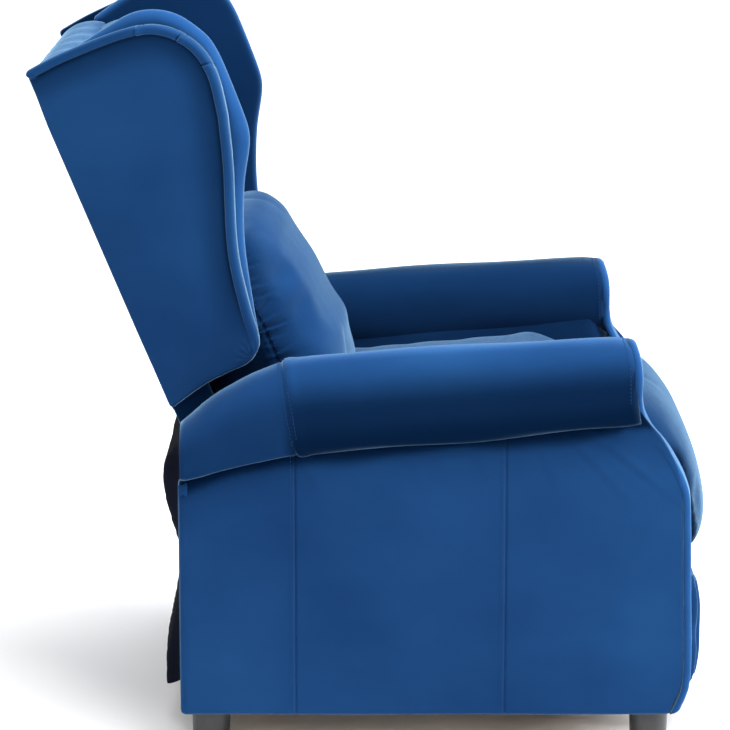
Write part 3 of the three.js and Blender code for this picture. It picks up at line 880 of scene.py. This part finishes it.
def make_facing(side, sign):
    node = f"arm_front_facing_{side}"
    low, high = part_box(node)
    roll_low, roll_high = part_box(f"arm_roll_{side}")
    centre = abs(roll_low.x + roll_high.x) / 2
    radius = (roll_high.x - roll_low.x) / 2
    inner, outer = FACING_X
    middle = high.z - radius
    from_angle = -math.acos((outer - centre) / radius)
    to_angle = math.pi + math.acos((centre - inner) / radius)
    arc = [(centre + radius * math.cos(a), middle + radius * math.sin(a))
           for a in np.linspace(from_angle, to_angle, 40)]
    corners = [(inner, low.z), (outer, low.z)] + arc
    if sign < 0:
        corners = [(-x, z) for x, z in reversed(corners)]
    outline = soft_outline(corners, 0.005, 0.004)

    def place(x, z, h):
        z_in = np.clip(z, low.z, high.z)
        return np.stack([x, front_y(z_in) + FACING_THICK - h, z], -1)

    def front(flat, gap):
        h = FACING_THICK * shoulder(gap, 0.0075) + 0.0022 * smoothstep(gap, 0.004, 0.035)
        return h - 0.0012 * bell(gap - 0.0085, 0.0014)

    obj = padded_panel(f"arm_facing_{side}", outline, place, front, grid=0.006)
    co = coords(obj)
    # painted highlight: the facing is lightened all over, and most along its front rim
    rim = smoothstep(-co[:, 1], -(front_y(co[:, 2]) + 0.008), -(front_y(co[:, 2]) + 0.002))
    paint_light_and_shade(obj, -0.15 - 0.5 * rim)
    give(obj, "base", [node])


ROLL_HANG = ((-0.354, -0.258, -0.178, -0.044, 0.090, 0.184, 0.241),      # y, and how far the padded
             (-0.011, -0.009, -0.004, 0.001, 0.002, 0.006, 0.010))       # underside lies off the frame's


def roll_stations(side):
    """Underside and top of the roll by Y, from the rings of its frame solid."""
    y, low, high = spans(f"arm_roll_{side}", 1, 2)
    return y, low + np.interp(y, *ROLL_HANG), high


def soft_interp(x, xs, ys, reach=0.018):
    """Linear interpolation rounded over about `reach`."""
    offsets = np.linspace(-reach, reach, 9)
    weights = np.cos(offsets / reach * math.pi / 2)
    total = sum(w * np.interp(x + o, xs, ys) for w, o in zip(weights, offsets))
    return total / weights.sum()


def roll_seam(height):
    """Y of the seam across the roll; height is -1 at its underside and 1 at its top."""
    return ROLL_SEAM_Y[1] + (ROLL_SEAM_Y[0] - ROLL_SEAM_Y[1]) * (height + 1) / 2


def make_roll(side, sign):
    node = f"arm_roll_{side}"
    y_at, low_at, high_at = roll_stations(side)
    box_low, box_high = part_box(node)
    centre, radius = (box_low.x + box_high.x) / 2, (box_high.x - box_low.x) / 2
    around = 96
    stations = np.concatenate([np.arange(box_low.y, 0.06, 0.007), np.arange(0.06, 0.15, 0.0018),
                               np.arange(0.15, box_high.y, 0.006), [box_high.y]])
    y, angle = np.meshgrid(stations, np.linspace(0, 2 * math.pi, around, endpoint=False), indexing="ij")
    c, s = np.cos(angle), np.sin(angle)
    low, high = soft_interp(y, y_at, low_at), soft_interp(y, y_at, high_at)
    squeeze = 0.90 + 0.10 * np.minimum(1, (box_high.y - y) / 0.03) ** 0.5
    low_outer = smoothstep(-s, -0.05, 0.5) * smoothstep(c * sign, -0.3, 0.3)
    power = 2 / (2.25 + 5.5 * low_outer)
    away = y - roll_seam(s)
    grow = -0.0030 * bell(away, 0.0022) + 0.0012 * bell(away + 0.010, 0.007)
    grow -= 0.0022 * smoothstep(away, -0.001, 0.004)
    grow += 0.0011 * np.sin(y * 26 + 2 * c) * np.sin(3 * angle + 1.1)
    x = centre + (radius * squeeze + grow) * np.copysign(np.abs(c) ** power, c)
    z = (high + low) / 2 + ((high - low) / 2 * squeeze + grow) * np.copysign(np.abs(s) ** power, s)
    at_front = 1 - smoothstep(y, box_low.y, box_low.y + 0.05)
    y = y + at_front * (front_y(z) + FACING_THICK - 0.001 - box_low.y)
    points = np.stack([x, y, z], -1).reshape(-1, 3)
    faces = tube_faces(len(stations), around)
    faces.append(tuple(reversed(range(around))))
    last = (len(stations) - 1) * around
    faces.append(tuple(last + k for k in range(around)))
    obj = outward(new_object(f"arm_roll_pad_{side}", points, faces))
    # painted light and shade on the roll: the outer side darkens from the top towards the underside (less on
    # the rear part behind the seam), the inner side is darkened, and the top is darkened on the far left roll
    # and lightened on the near right one
    co = coords(obj)
    low, high = np.interp(co[:, 1], y_at, low_at), np.interp(co[:, 1], y_at, high_at)
    up = (co[:, 2] - (low + high) / 2) / (high - low) * 2
    outer = smoothstep((co[:, 0] - centre) * sign, -0.004, 0.012)
    painted_top_light = 0.85 if side == "left" else -0.4  # painted shade on the far (left) roll's top, painted highlight on the near (right) roll's top
    front_part = 1 - 0.55 * smoothstep(co[:, 1], ROLL_SEAM_Y[1] - 0.002, ROLL_SEAM_Y[0] + 0.002)
    brushed = 0.85 * (1 - smoothstep(up, -0.1, 0.86)) + 0.15 * (1 - smoothstep(up, -0.8, -0.2))
    near_top = smoothstep(up, 0.90, 1.0)
    inner_side_shade = 0.65 * (1 - near_top) + painted_top_light * near_top
    brushed = front_part * brushed * (1 - near_top) + painted_top_light * near_top
    paint_light_and_shade(obj, outer * brushed + (1 - outer) * inner_side_shade)
    give(obj, "base", [node])
    rows = []
    for off in (0.0042, -0.0042):
        turn = np.linspace(-1.35, 4.3, 90)
        seam_y = roll_seam(np.sin(turn)) + off
        low, high = np.interp(seam_y, y_at, low_at), np.interp(seam_y, y_at, high_at)
        z = (low + high) / 2 + (high - low) / 2 * np.sin(turn)
        rows.append(np.stack([centre + radius * np.cos(turn), seam_y, z], 1))
    turn = np.linspace(-1.35, 4.3, 70)
    z = 0.525 + 0.049 * np.sin(turn)
    rows.append(np.stack([centre + radius * np.cos(turn), front_y(z) + FACING_THICK + 0.006, z], 1))
    stitching(f"arm_roll_stitching_{side}", obj, rows, "base")


def make_arms():
    for side, sign in SIDES:
        make_side_panel(side, sign)
        make_arm_rear(side, sign)
        make_inner_pad(side, sign)
        make_facing(side, sign)
        make_roll(side, sign)


# ---- wings
BAND = 0.0120                        # width of the edge strip round the wing's top and front
BAND_ROWS = (0.0012, 0.0028, 0.0048, 0.0065, 0.0082, 0.0098, 0.011, 0.012, 0.0131, 0.0148, 0.0175, 0.021)
WING_DEPTH, WING_PAD_DEPTH = 0.016, 0.030
WING_LOW_CORNER = (0.030, 0.145)     # (up, into the cushions), where the cloth fans out
WING_DARTS = ((0.505, 0.172), (0.468, 0.224), (0.423, 0.245))   # (up, into the cushions)


def make_wing(side, sign):
    node = f"wing_panel_{side}"
    normal, loop = broad_face(node, (sign, -0.2, 0))
    plane = Plane(Vector(loop[0]) - normal * WING_DEPTH, normal, UP_THE_BACK)
    outline = plane.outline(loop, 0.005, 0.005, corner=25)
    rim = plane.place(outline[:, 0], outline[:, 1], np.zeros(len(outline)))
    up = (rim - np.array(BACK_FOOT)) @ np.array(UP_THE_BACK)
    into = (rim - np.array(BACK_FOOT)) @ np.array(INTO_CUSHIONS)
    banded = (up > 0.030) & (into > 0.012)
    first = next(i for i in range(len(banded)) if banded[i] and not banded[i - 1])
    order = [(first + i) % len(banded) for i in range(len(banded))]
    band_line = outline[[i for i in order if banded[i]]]
    low_end = outline[:, 1].min()
    dart_points = [plane.flat(on_back(rim[:, 0].mean(), *dart)) for dart in WING_DARTS]
    _, dart_arcs = distance_to(dart_points, band_line, closed=False)

    def front(flat, gap):
        strip, along = distance_to(flat, band_line, closed=False)
        h = WING_DEPTH * (0.5 + 0.5 * shoulder(gap, 0.0045))
        inner = smoothstep(strip, BAND - 0.0008, BAND + 0.0022)
        raised = smoothstep(flat[:, 1] - low_end, 0.045, 0.12)
        h += (1 - inner) * 0.0020 * raised
        h -= (0.0010 + 0.0020 * raised) * bell(strip - BAND, 0.0010)
        last = dart_arcs.max()
        h -= 0.0009 * bell(strip - BAND * 0.55, 0.0009) * smoothstep(along, last, last + 0.02)
        h += inner * (0.0070 * smoothstep(strip, BAND + 0.004, 0.09) - 0.0046) * (0.35 + 0.65 * raised)
        low_corner = np.array(plane.flat(on_back(rim[:, 0].mean(), *WING_LOW_CORNER)))
        from_corner = flat - low_corner
        spread = np.linalg.norm(from_corner, axis=1)
        turn = np.arctan2(from_corner[:, 1], from_corner[:, 0])
        h += 0.0016 * np.sin(turn * 15) * smoothstep(-spread, -0.034, -0.008) * smoothstep(gap, 0.0, 0.004)
        for dart in dart_arcs:
            over = along - dart - 0.18 * (strip - BAND)
            on_band = 1 - smoothstep(strip, BAND - 0.001, BAND + 0.002)
            tuck = smoothstep(over, -0.014, -0.001) * (1 - smoothstep(over, -0.0004, 0.0006))
            h += on_band * (0.0032 * tuck - 0.0034 * bell(over - 0.0014, 0.0012))
        waves = np.sin(flat[:, 0] * 19 + 0.6) * np.sin(flat[:, 1] * 13 + 1.0)
        return h + 0.0007 * waves * smoothstep(gap, 0.02, 0.06)

    ends = np.cumsum(np.concatenate([[0], np.linalg.norm(np.diff(band_line, axis=0), axis=1)]))
    dart_lines = []
    for dart in dart_arcs:
        spot = np.array([np.interp(dart, ends, band_line[:, k]) for k in (0, 1)])
        ahead = np.array([np.interp(dart + 0.004, ends, band_line[:, k]) for k in (0, 1)]) - spot
        inward = np.array([-ahead[1], ahead[0]]) / np.linalg.norm(ahead)
        if not inside((spot + inward * 0.01)[None], outline)[0]:
            inward = -inward
        dart_lines.append(np.array([spot + inward * step for step in np.arange(0.001, BAND + 0.002, 0.0012)]))
    obj = padded_panel(f"wing_outer_{side}", outline, plane.place, front, grid=0.006, rings=BAND_ROWS,
                       lines=dart_lines)
    flat, height = plane.measure(coords(obj))
    strip, _ = distance_to(flat, band_line, closed=False)
    # painted shade in the recess beside the band, and on the panel's inner face
    painted_hollow_shade = 0.45 * (1 - smoothstep(strip, BAND + 0.001, BAND + 0.008))
    painted_hollow_shade += 0.5 * (1 - smoothstep(strip, 0.018, 0.06))
    painted_hollow_shade *= smoothstep(strip, BAND - 0.001, BAND + 0.001)
    painted_hollow_shade *= smoothstep(flat[:, 1] - low_end, 0.03, 0.14)
    paint_light_and_shade(obj, np.where(height < 0.001, 0.9, painted_hollow_shade))
    give(obj, "back", [node])


def make_wing_pad(side, sign):
    node = f"wing_pad_{side}"
    normal, loop = broad_face(node, (-sign, -0.2, 0))
    half = WING_PAD_DEPTH / 2
    plane = Plane(Vector(loop[0]) - normal * half, normal, UP_THE_BACK)
    outline = plane.outline(loop, 0.006, 0.008, corner=25)
    obj = padded_panel(f"wing_inner_{side}", outline, plane.place, crowned(half, 0.015, 0.009, 0.08),
                       crowned(-half, 0.015, 0, 1), grid=0.008,
                       rings=(0.001, 0.003, 0.006, 0.010, 0.015, 0.021))
    # painted light and shade: the pad's inward face is darkened, its crest and outer side lightened as a
    # painted highlight
    paint_light_and_shade(obj, 1.35 * smoothstep(normals(obj) @ np.array(plane.n), 0.45, 0.95) - 0.55)
    give(obj, "back", [node])


# ---- back
def make_head():
    obj = copy_of("head_cushion", "head_pad", (1.0, 0.98, 0.99))
    puff(obj, voxel=0.007, cap=0.020, round_off=12)
    # painted shade on the upward-facing top of the head cushion
    paint_light_and_shade(obj, 0.45 * smoothstep(normals(obj) @ np.array(UP_THE_BACK), 0.2, 0.8))
    give(obj, "back", ["head_cushion"])


PILLOW_SEAM_DEPTH = 0.150
PILLOW_FRONT = (                     # (up, into the cushions) at the middle
    (0.185, 0.120), (0.198, 0.150), (0.203, 0.180), (0.196, 0.208), (0.173, 0.225), (0.140, 0.232),
    (0.096, 0.239), (0.045, 0.247), (-0.005, 0.251), (-0.040, 0.251), (-0.070, 0.248), (-0.095, 0.238))


def make_pillow():
    obj = copy_of("lumbar_pillow", "lumbar_cushion", (0.985, 0.99, 0.985))
    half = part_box("lumbar_pillow")[1].x
    puff(obj, voxel=0.006, cap=0.012, round_off=22, calm=16)
    middle_height, middle_depth = 0.06, 0.10
    targets = [(depth - middle_depth, height - middle_height) for height, depth in PILLOW_FRONT]
    fit_profile(obj, (on_back(0, middle_height, middle_depth), INTO_CUSHIONS, UP_THE_BACK), targets,
                lambda x, slope: 0.24 * (x / half) ** 2)
    front_side, base = np.array(INTO_CUSHIONS), np.array(on_back(0, 0, PILLOW_SEAM_DEPTH))
    shade = np.zeros(len(obj.data.vertices))
    for side, sign in SIDES:
        seam = []
        for up in np.linspace(-0.085, 0.215, 70):
            depth = PILLOW_SEAM_DEPTH + 0.016 * math.sin((up + 0.08) / 0.32 * math.pi)
            seam.append(on_back(sign * (half + 0.02), up, depth))
        seam = [tuple(p) for p, _ in on_surface(seam, surface_tree(obj))]
        gathers(obj, seam, seed=11 + int(sign), reach=0.060, height=0.0044, pitch=0.0120,
                away=lambda co: 0.25 + 0.75 * smoothstep((co - base) @ front_side, -0.002, 0.006))
        imprint(obj, seam, width=0.0026, depth=0.0034)
        co = coords(obj)
        gap, _ = distance_to(co, seam, closed=False)
        behind = 1 - smoothstep((co - base) @ front_side, -0.004, 0.004)
        shade += np.maximum(0.6 * (1 - smoothstep(gap, 0.004, 0.085)),
                            0.85 * behind * (1 - smoothstep(gap, 0.0, 0.15)))
        stitching(f"lumbar_stitching_{side}", obj, [np.array(seam) + front_side * 0.004], "back")
    paint_light_and_shade(obj, np.clip(shade + 0.08, 0, 1))
    give(obj, "back", ["lumbar_pillow"])


def make_outer_back():
    node = "outer_back_cover"
    normal, loop = broad_face(node, (0, 1, -0.4))
    plane = Plane(Vector(loop[0]) - normal * 0.010, normal, UP_THE_BACK)
    outline = plane.outline(loop, 0.008, 0.004)
    obj = padded_panel("back_cover", outline, plane.place,
                       lambda f, g: 0.0095 * shoulder(g, 0.007) + 0.004 * smoothstep(g, 0.0, 0.12)
                       - 0.0015 * bell(g - 0.011, 0.0018),
                       grid=0.011)
    give(obj, "back", [node])


def make_back_sides():
    """Cloth over the outer face of each stile, seen below the wings."""
    low_end, high_end = -0.043, 0.478
    for side, sign in SIDES:
        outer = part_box(f"back_stile_{side}")[1].x if sign > 0 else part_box(f"back_stile_{side}")[0].x
        plane = Plane((outer + sign * 0.0003, BACK_FOOT.y, BACK_FOOT.z), (sign, 0, 0), UP_THE_BACK)
        corners = [(low_end, 0.003), (low_end, 0.062), (high_end, 0.062), (high_end, 0.003)]
        outline = plane.outline([on_back(outer, h, d) for h, d in corners], 0.006, 0.004)
        obj = padded_panel(f"back_side_{side}", outline, plane.place,
                           lambda f, g: 0.0030 * shoulder(g, 0.003) + 0.0008 * np.sin(f[:, 1] * 90),
                           grid=0.009)
        # painted shade: the cloth on the stiles' outer faces is darkened all over
        paint_light_and_shade(obj, 0.85)
        give(obj, "back")


def make_inner_back():
    """Cloth stretched over the webbing of the back, behind the cushions."""
    half, depth = 0.224, 0.0476
    plane = Plane(on_back(0, 0, depth), INTO_CUSHIONS, UP_THE_BACK)
    corners = [(-half, -0.044), (half, -0.044), (half, 0.482), (-half, 0.482)]
    outline = plane.outline([on_back(x, h, depth) for x, h in corners], 0.008, 0.006)
    obj = padded_panel("back_inner_cloth", outline, plane.place,
                       lambda f, g: 0.0030 * shoulder(g, 0.004) + 0.0012 * smoothstep(g, 0.0, 0.08)
                       + 0.0006 * np.sin(f[:, 1] * 60) * smoothstep(g, 0.0, 0.03),
                       grid=0.012)
    # painted shade: the cloth behind the cushions is darkened all over
    paint_light_and_shade(obj, 0.55)
    give(obj, "back")


def make_back_cap():
    """Cloth over the top of the back, from the outer cover to the head cushion."""
    half, rows, columns, depth, foot = 0.229, 24, 60, (0.001, 0.073), 0.470
    across = np.linspace(-half, half, columns + 1)
    points = []
    for t in np.linspace(0, 1, rows + 1):
        rise = 0.4875 + 0.012 * abs(math.sin(math.pi * t)) ** 0.7
        into = depth[0] + (depth[1] - depth[0]) * t
        points += [on_back(x, rise + 0.0015 * math.sin(k * 0.55 + 3 * t), into) for k, x in enumerate(across)]
    points += [on_back(x, foot, end) for end in depth for x in across]
    width = columns + 1
    faces = grid_faces(rows, columns)
    rear, fore = (rows + 1) * width, (rows + 2) * width
    faces += [(rear + k, rear + k + 1, k + 1, k) for k in range(columns)]
    faces += [(rows * width + k, rows * width + k + 1, fore + k + 1, fore + k) for k in range(columns)]
    faces += [(fore + k, fore + k + 1, rear + k + 1, rear + k) for k in range(columns)]
    for k in (0, columns):
        edge = [i * width + k for i in range(rows + 1)] + [fore + k, rear + k]
        faces.append(tuple(edge))
    obj = outward(new_object("back_top_cover", points, faces))
    give(obj, "back")


# ---- seat and footrest
SEAT_FOLD_X = 0.233                  # fold at each end of the seat's front
SEAT_FOLD = ((-0.430, 0.385), (-0.446, 0.345), (-0.452, 0.305), (-0.448, 0.270))   # (y, z)
SEAT_PROFILE = (                     # (forward, up) at the middle
    (0.300, 0.474), (0.345, 0.473), (0.378, 0.468), (0.400, 0.462), (0.418, 0.449), (0.436, 0.427),
    (0.453, 0.397), (0.468, 0.354), (0.477, 0.312), (0.476, 0.282), (0.462, 0.256))


def make_seat():
    obj = copy_of("seat_cushion", "seat_pad", (0.985, 0.99, 0.98))
    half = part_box("seat_cushion")[1].x

    def hold(start):
        under = smoothstep(start[:, 2], 0.300, 0.335)
        front = smoothstep(-start[:, 1], 0.432, 0.442)
        return np.clip(np.maximum(under, front), 0.05, 1.0)

    puff(obj, voxel=0.007, cap=0.016, hold=hold, round_off=14, calm=10)
    middle = Vector((0, -0.330, 0.340))
    targets = [(forward + middle.y, up - middle.z) for forward, up in SEAT_PROFILE]
    fit_profile(obj, (middle, (0, -1, 0), (0, 0, 1)), targets,
                lambda x, slope: 0.26 * (x / half) ** 5 * smoothstep(slope, -0.75, 0.0))
    co = coords(obj)
    limit = half + 0.0045
    co[:, 0] = np.clip(co[:, 0], -limit, limit)
    set_coords(obj, co)
    fold_shade = np.zeros(len(co))
    for _, sign in SIDES:
        fold_line = resample_line([(sign * SEAT_FOLD_X, y, z) for y, z in SEAT_FOLD], 0.004)
        fold_line = np.array([tuple(p) for p, _ in on_surface(fold_line, surface_tree(obj))])
        gathers(obj, fold_line, seed=31 + int(sign), reach=0.030, height=0.0050, pitch=0.013)
        imprint(obj, fold_line, width=0.010, depth=0.0055)
        gap, _ = distance_to(coords(obj), fold_line, closed=False)
        fold_shade += 0.75 * smoothstep(-gap, -0.036, -0.006)
    # painted shade: the seat is darkened all over, and more along each front fold
    paint_light_and_shade(obj, np.clip(0.42 + fold_shade, 0, 1))
    give(obj, "carriage", ["seat_cushion"])


FOOTREST_SEAM = 0.014                # inset of the seam from the pad's edges


def make_footrest():
    obj = copy_of("footrest_pad", "footrest_cushion", (0.99, 0.9, 0.98))
    low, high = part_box("footrest_pad")
    board_low, board_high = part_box("footrest_board")
    co = coords(obj)
    behind = board_high.y + 0.0003
    co[co[:, 1] > high.y - 0.004, 1] = behind
    set_coords(obj, co)

    def hold(start):
        return np.clip(smoothstep(-start[:, 1], -high.y + 0.001, -high.y + 0.012), 0.08, 1.0)

    puff(obj, voxel=0.005, cap=0.006, hold=hold, round_off=7, calm=3)
    co = coords(obj)
    wrapped = smoothstep(co[:, 1], high.y - 0.013, high.y - 0.003)      # cloth drawn over the board's edges
    for axis, reach in ((0, 0.022), (2, 0.010)):
        middle, half = (board_low[axis] + board_high[axis]) / 2, (board_high[axis] - board_low[axis]) / 2
        away = co[:, axis] - middle
        drawn = wrapped * smoothstep(np.abs(away), half - 1.4 * reach, half - 0.7 * reach)
        co[:, axis] += np.sign(away) * drawn * np.maximum(0, half + 0.0015 - np.abs(away))
    co[:, 1] += (behind - co[:, 1]) * smoothstep(co[:, 1], behind - 0.013, behind - 0.003)
    set_coords(obj, co)
    tree = surface_tree(obj)
    (left, right), (foot, top) = ((low[k] + FOOTREST_SEAM, high[k] - FOOTREST_SEAM) for k in (0, 2))
    corners = [(left, foot), (right, foot), (right, top), (left, top), (left, foot)]
    path = resample_line([(x, low.y, z) for x, z in corners], 0.006)
    seam = [tuple(p) for p, _ in on_surface(path, tree)]
    imprint(obj, seam, width=0.0024, depth=0.0022)
    give(obj, "footrest", ["footrest_pad"])


# ---- drape
DRAPE_THICK = 0.0018
DRAPE_CURL = {"width": 0.052, "reach": 0.026, "lift": 0.020}   # side edges drawn in to the arms


def make_drape():
    node = "rear_drape"
    points, _ = node_mesh(node)
    low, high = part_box(node)
    ordered = sorted((p for p in points if p.x > 0), key=lambda p: p.z)
    z_at = np.array([p.z for p in ordered])
    y_at = np.array([p.y for p in ordered])
    half = high.x
    rows, columns = 90, 120
    phases = numbers(7).uniform(0, 2 * math.pi, 4)
    z = np.linspace(low.z, high.z, rows + 1)
    y = np.array([y_at[near].mean() if near.any() else np.interp(level_z, z_at, y_at)
                  for level_z, near in ((level_z, np.abs(z_at - level_z) < 0.012) for level_z in z)])
    t = np.linspace(0, 1, rows + 1)[:, None]
    x, y, z = np.linspace(-half, half, columns + 1)[None], y[:, None], z[:, None]
    slack = (1 - t) ** 1.2
    fold = 0.0042 * np.sin(x * 26 + phases[0] + 1.5 * t) + 0.0022 * np.sin(x * 58 + phases[1] - 2.0 * t)
    curl = smoothstep(np.abs(x), half - DRAPE_CURL["width"], half) * (1 - 0.75 * smoothstep(t, 0.86, 1.0))
    reach = np.clip(y - 0.2535, 0.0, DRAPE_CURL["reach"])
    hem = 0.0010 * bell(z - low.z - 0.016, 0.0022)
    y = y + slack * fold * (1 - curl) - curl * reach - hem
    z = z + DRAPE_CURL["lift"] * curl * slack
    verts = np.stack(np.broadcast_arrays(x, y, z), -1).reshape(-1, 3)
    obj = new_object("back_drape", verts, grid_faces(rows, columns))
    modified(obj, "SOLIDIFY", thickness=DRAPE_THICK, offset=0)
    give(obj, None, [node], slot="lining_dark")
    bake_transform(obj)


# ---- legs
def make_legs():
    for end in ("front", "rear"):
        for side, _ in SIDES:
            node = f"{end}_leg_{side}"
            low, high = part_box(node)
            cx, cy, radius = (low.x + high.x) / 2, (low.y + high.y) / 2, (high.x - low.x) / 2
            top = high.z
            profile = [(0, 0), (radius - 0.0045, 0), (radius - 0.0030, 0.0006), (radius - 0.0022, 0.0020),
                       (radius - 0.0020, 0.0050), (radius - 0.0026, 0.0056), (radius - 0.0026, 0.0066),
                       (radius - 0.0016, 0.0072), (radius - 0.0006, top * 0.6), (radius, top - 0.002),
                       (radius - 0.0006, top), (0, top)]
            around = 72
            turn = np.linspace(0, 2 * math.pi, around, endpoint=False)
            points = [(cx, cy, 0)]
            for r, z in profile[1:-1]:
                points += [(cx + r * c, cy + r * s, z) for c, s in zip(np.cos(turn), np.sin(turn))]
            points.append((cx, cy, top))
            rings = len(profile) - 2
            faces = [(0, 1 + (k + 1) % around, 1 + k) for k in range(around)]
            faces += tube_faces(rings, around, first=1)
            tip, base = len(points) - 1, 1 + (rings - 1) * around
            faces += [(tip, base + k, base + (k + 1) % around) for k in range(around)]
            obj = outward(new_object(f"leg_{end}_{side}", points, faces))
            give(obj, "base", [node], slot="leg_plastic")


# ---- studio
def make_studio():
    floor = new_object("floor", [(-30, -30, 0), (30, -30, 0), (30, 30, 0), (-30, 30, 0)], [(0, 1, 2, 3)])
    m = Nodes("studio_floor")
    color = m.ramp(m.noise(0.8), [(0.3, (0.93, 0.93, 0.93)), (0.7, (0.96, 0.96, 0.96))])
    m.surface(color, 0.6, {"Specular IOR Level": 0.2})
    floor.data.materials.append(m.material)

    world = bpy.data.worlds.new("studio")
    world.use_nodes = True
    world.node_tree.nodes["Background"].inputs["Color"].default_value = (0.95, 0.97, 1.0, 1)
    world.node_tree.nodes["Background"].inputs["Strength"].default_value = 0.5
    bpy.context.scene.world = world

    def area(name, at, target, size, power):
        data = bpy.data.lights.new(name, "AREA")
        data.shape = "RECTANGLE"
        data.size, data.size_y = size
        data.energy = power
        light = bpy.data.objects.new(name, data)
        light.location = at
        light.rotation_euler = (Vector(target) - Vector(at)).to_track_quat("-Z", "Y").to_euler()
        bpy.context.scene.collection.objects.link(light)

    area("overhead", (-0.7, -0.7, 3.4), (0, 0, 0.4), (2.2, 2.6), 200)
    area("camera_side", (-4.2, 1.2, 2.6), (0, 0, 0.5), (1.8, 1.8), 55)
    area("front_key", (-0.6, -3.6, 2.3), (0, 0, 0.6), (1.8, 2.2), 150)
    area("far_floor", (6.5, 0, 3.4), (6.5, 0, 0), (9.0, 9.0), 420)
    bpy.context.scene.view_settings.view_transform = "Standard"


# ---- build
dress_frame()
make_arms()
for wing_side, wing_sign in SIDES:
    make_wing(wing_side, wing_sign)
    make_wing_pad(wing_side, wing_sign)
make_head()
make_pillow()
make_outer_back()
make_back_sides()
make_inner_back()
make_back_cap()
make_seat()
make_footrest()
make_drape()
make_legs()
make_studio()
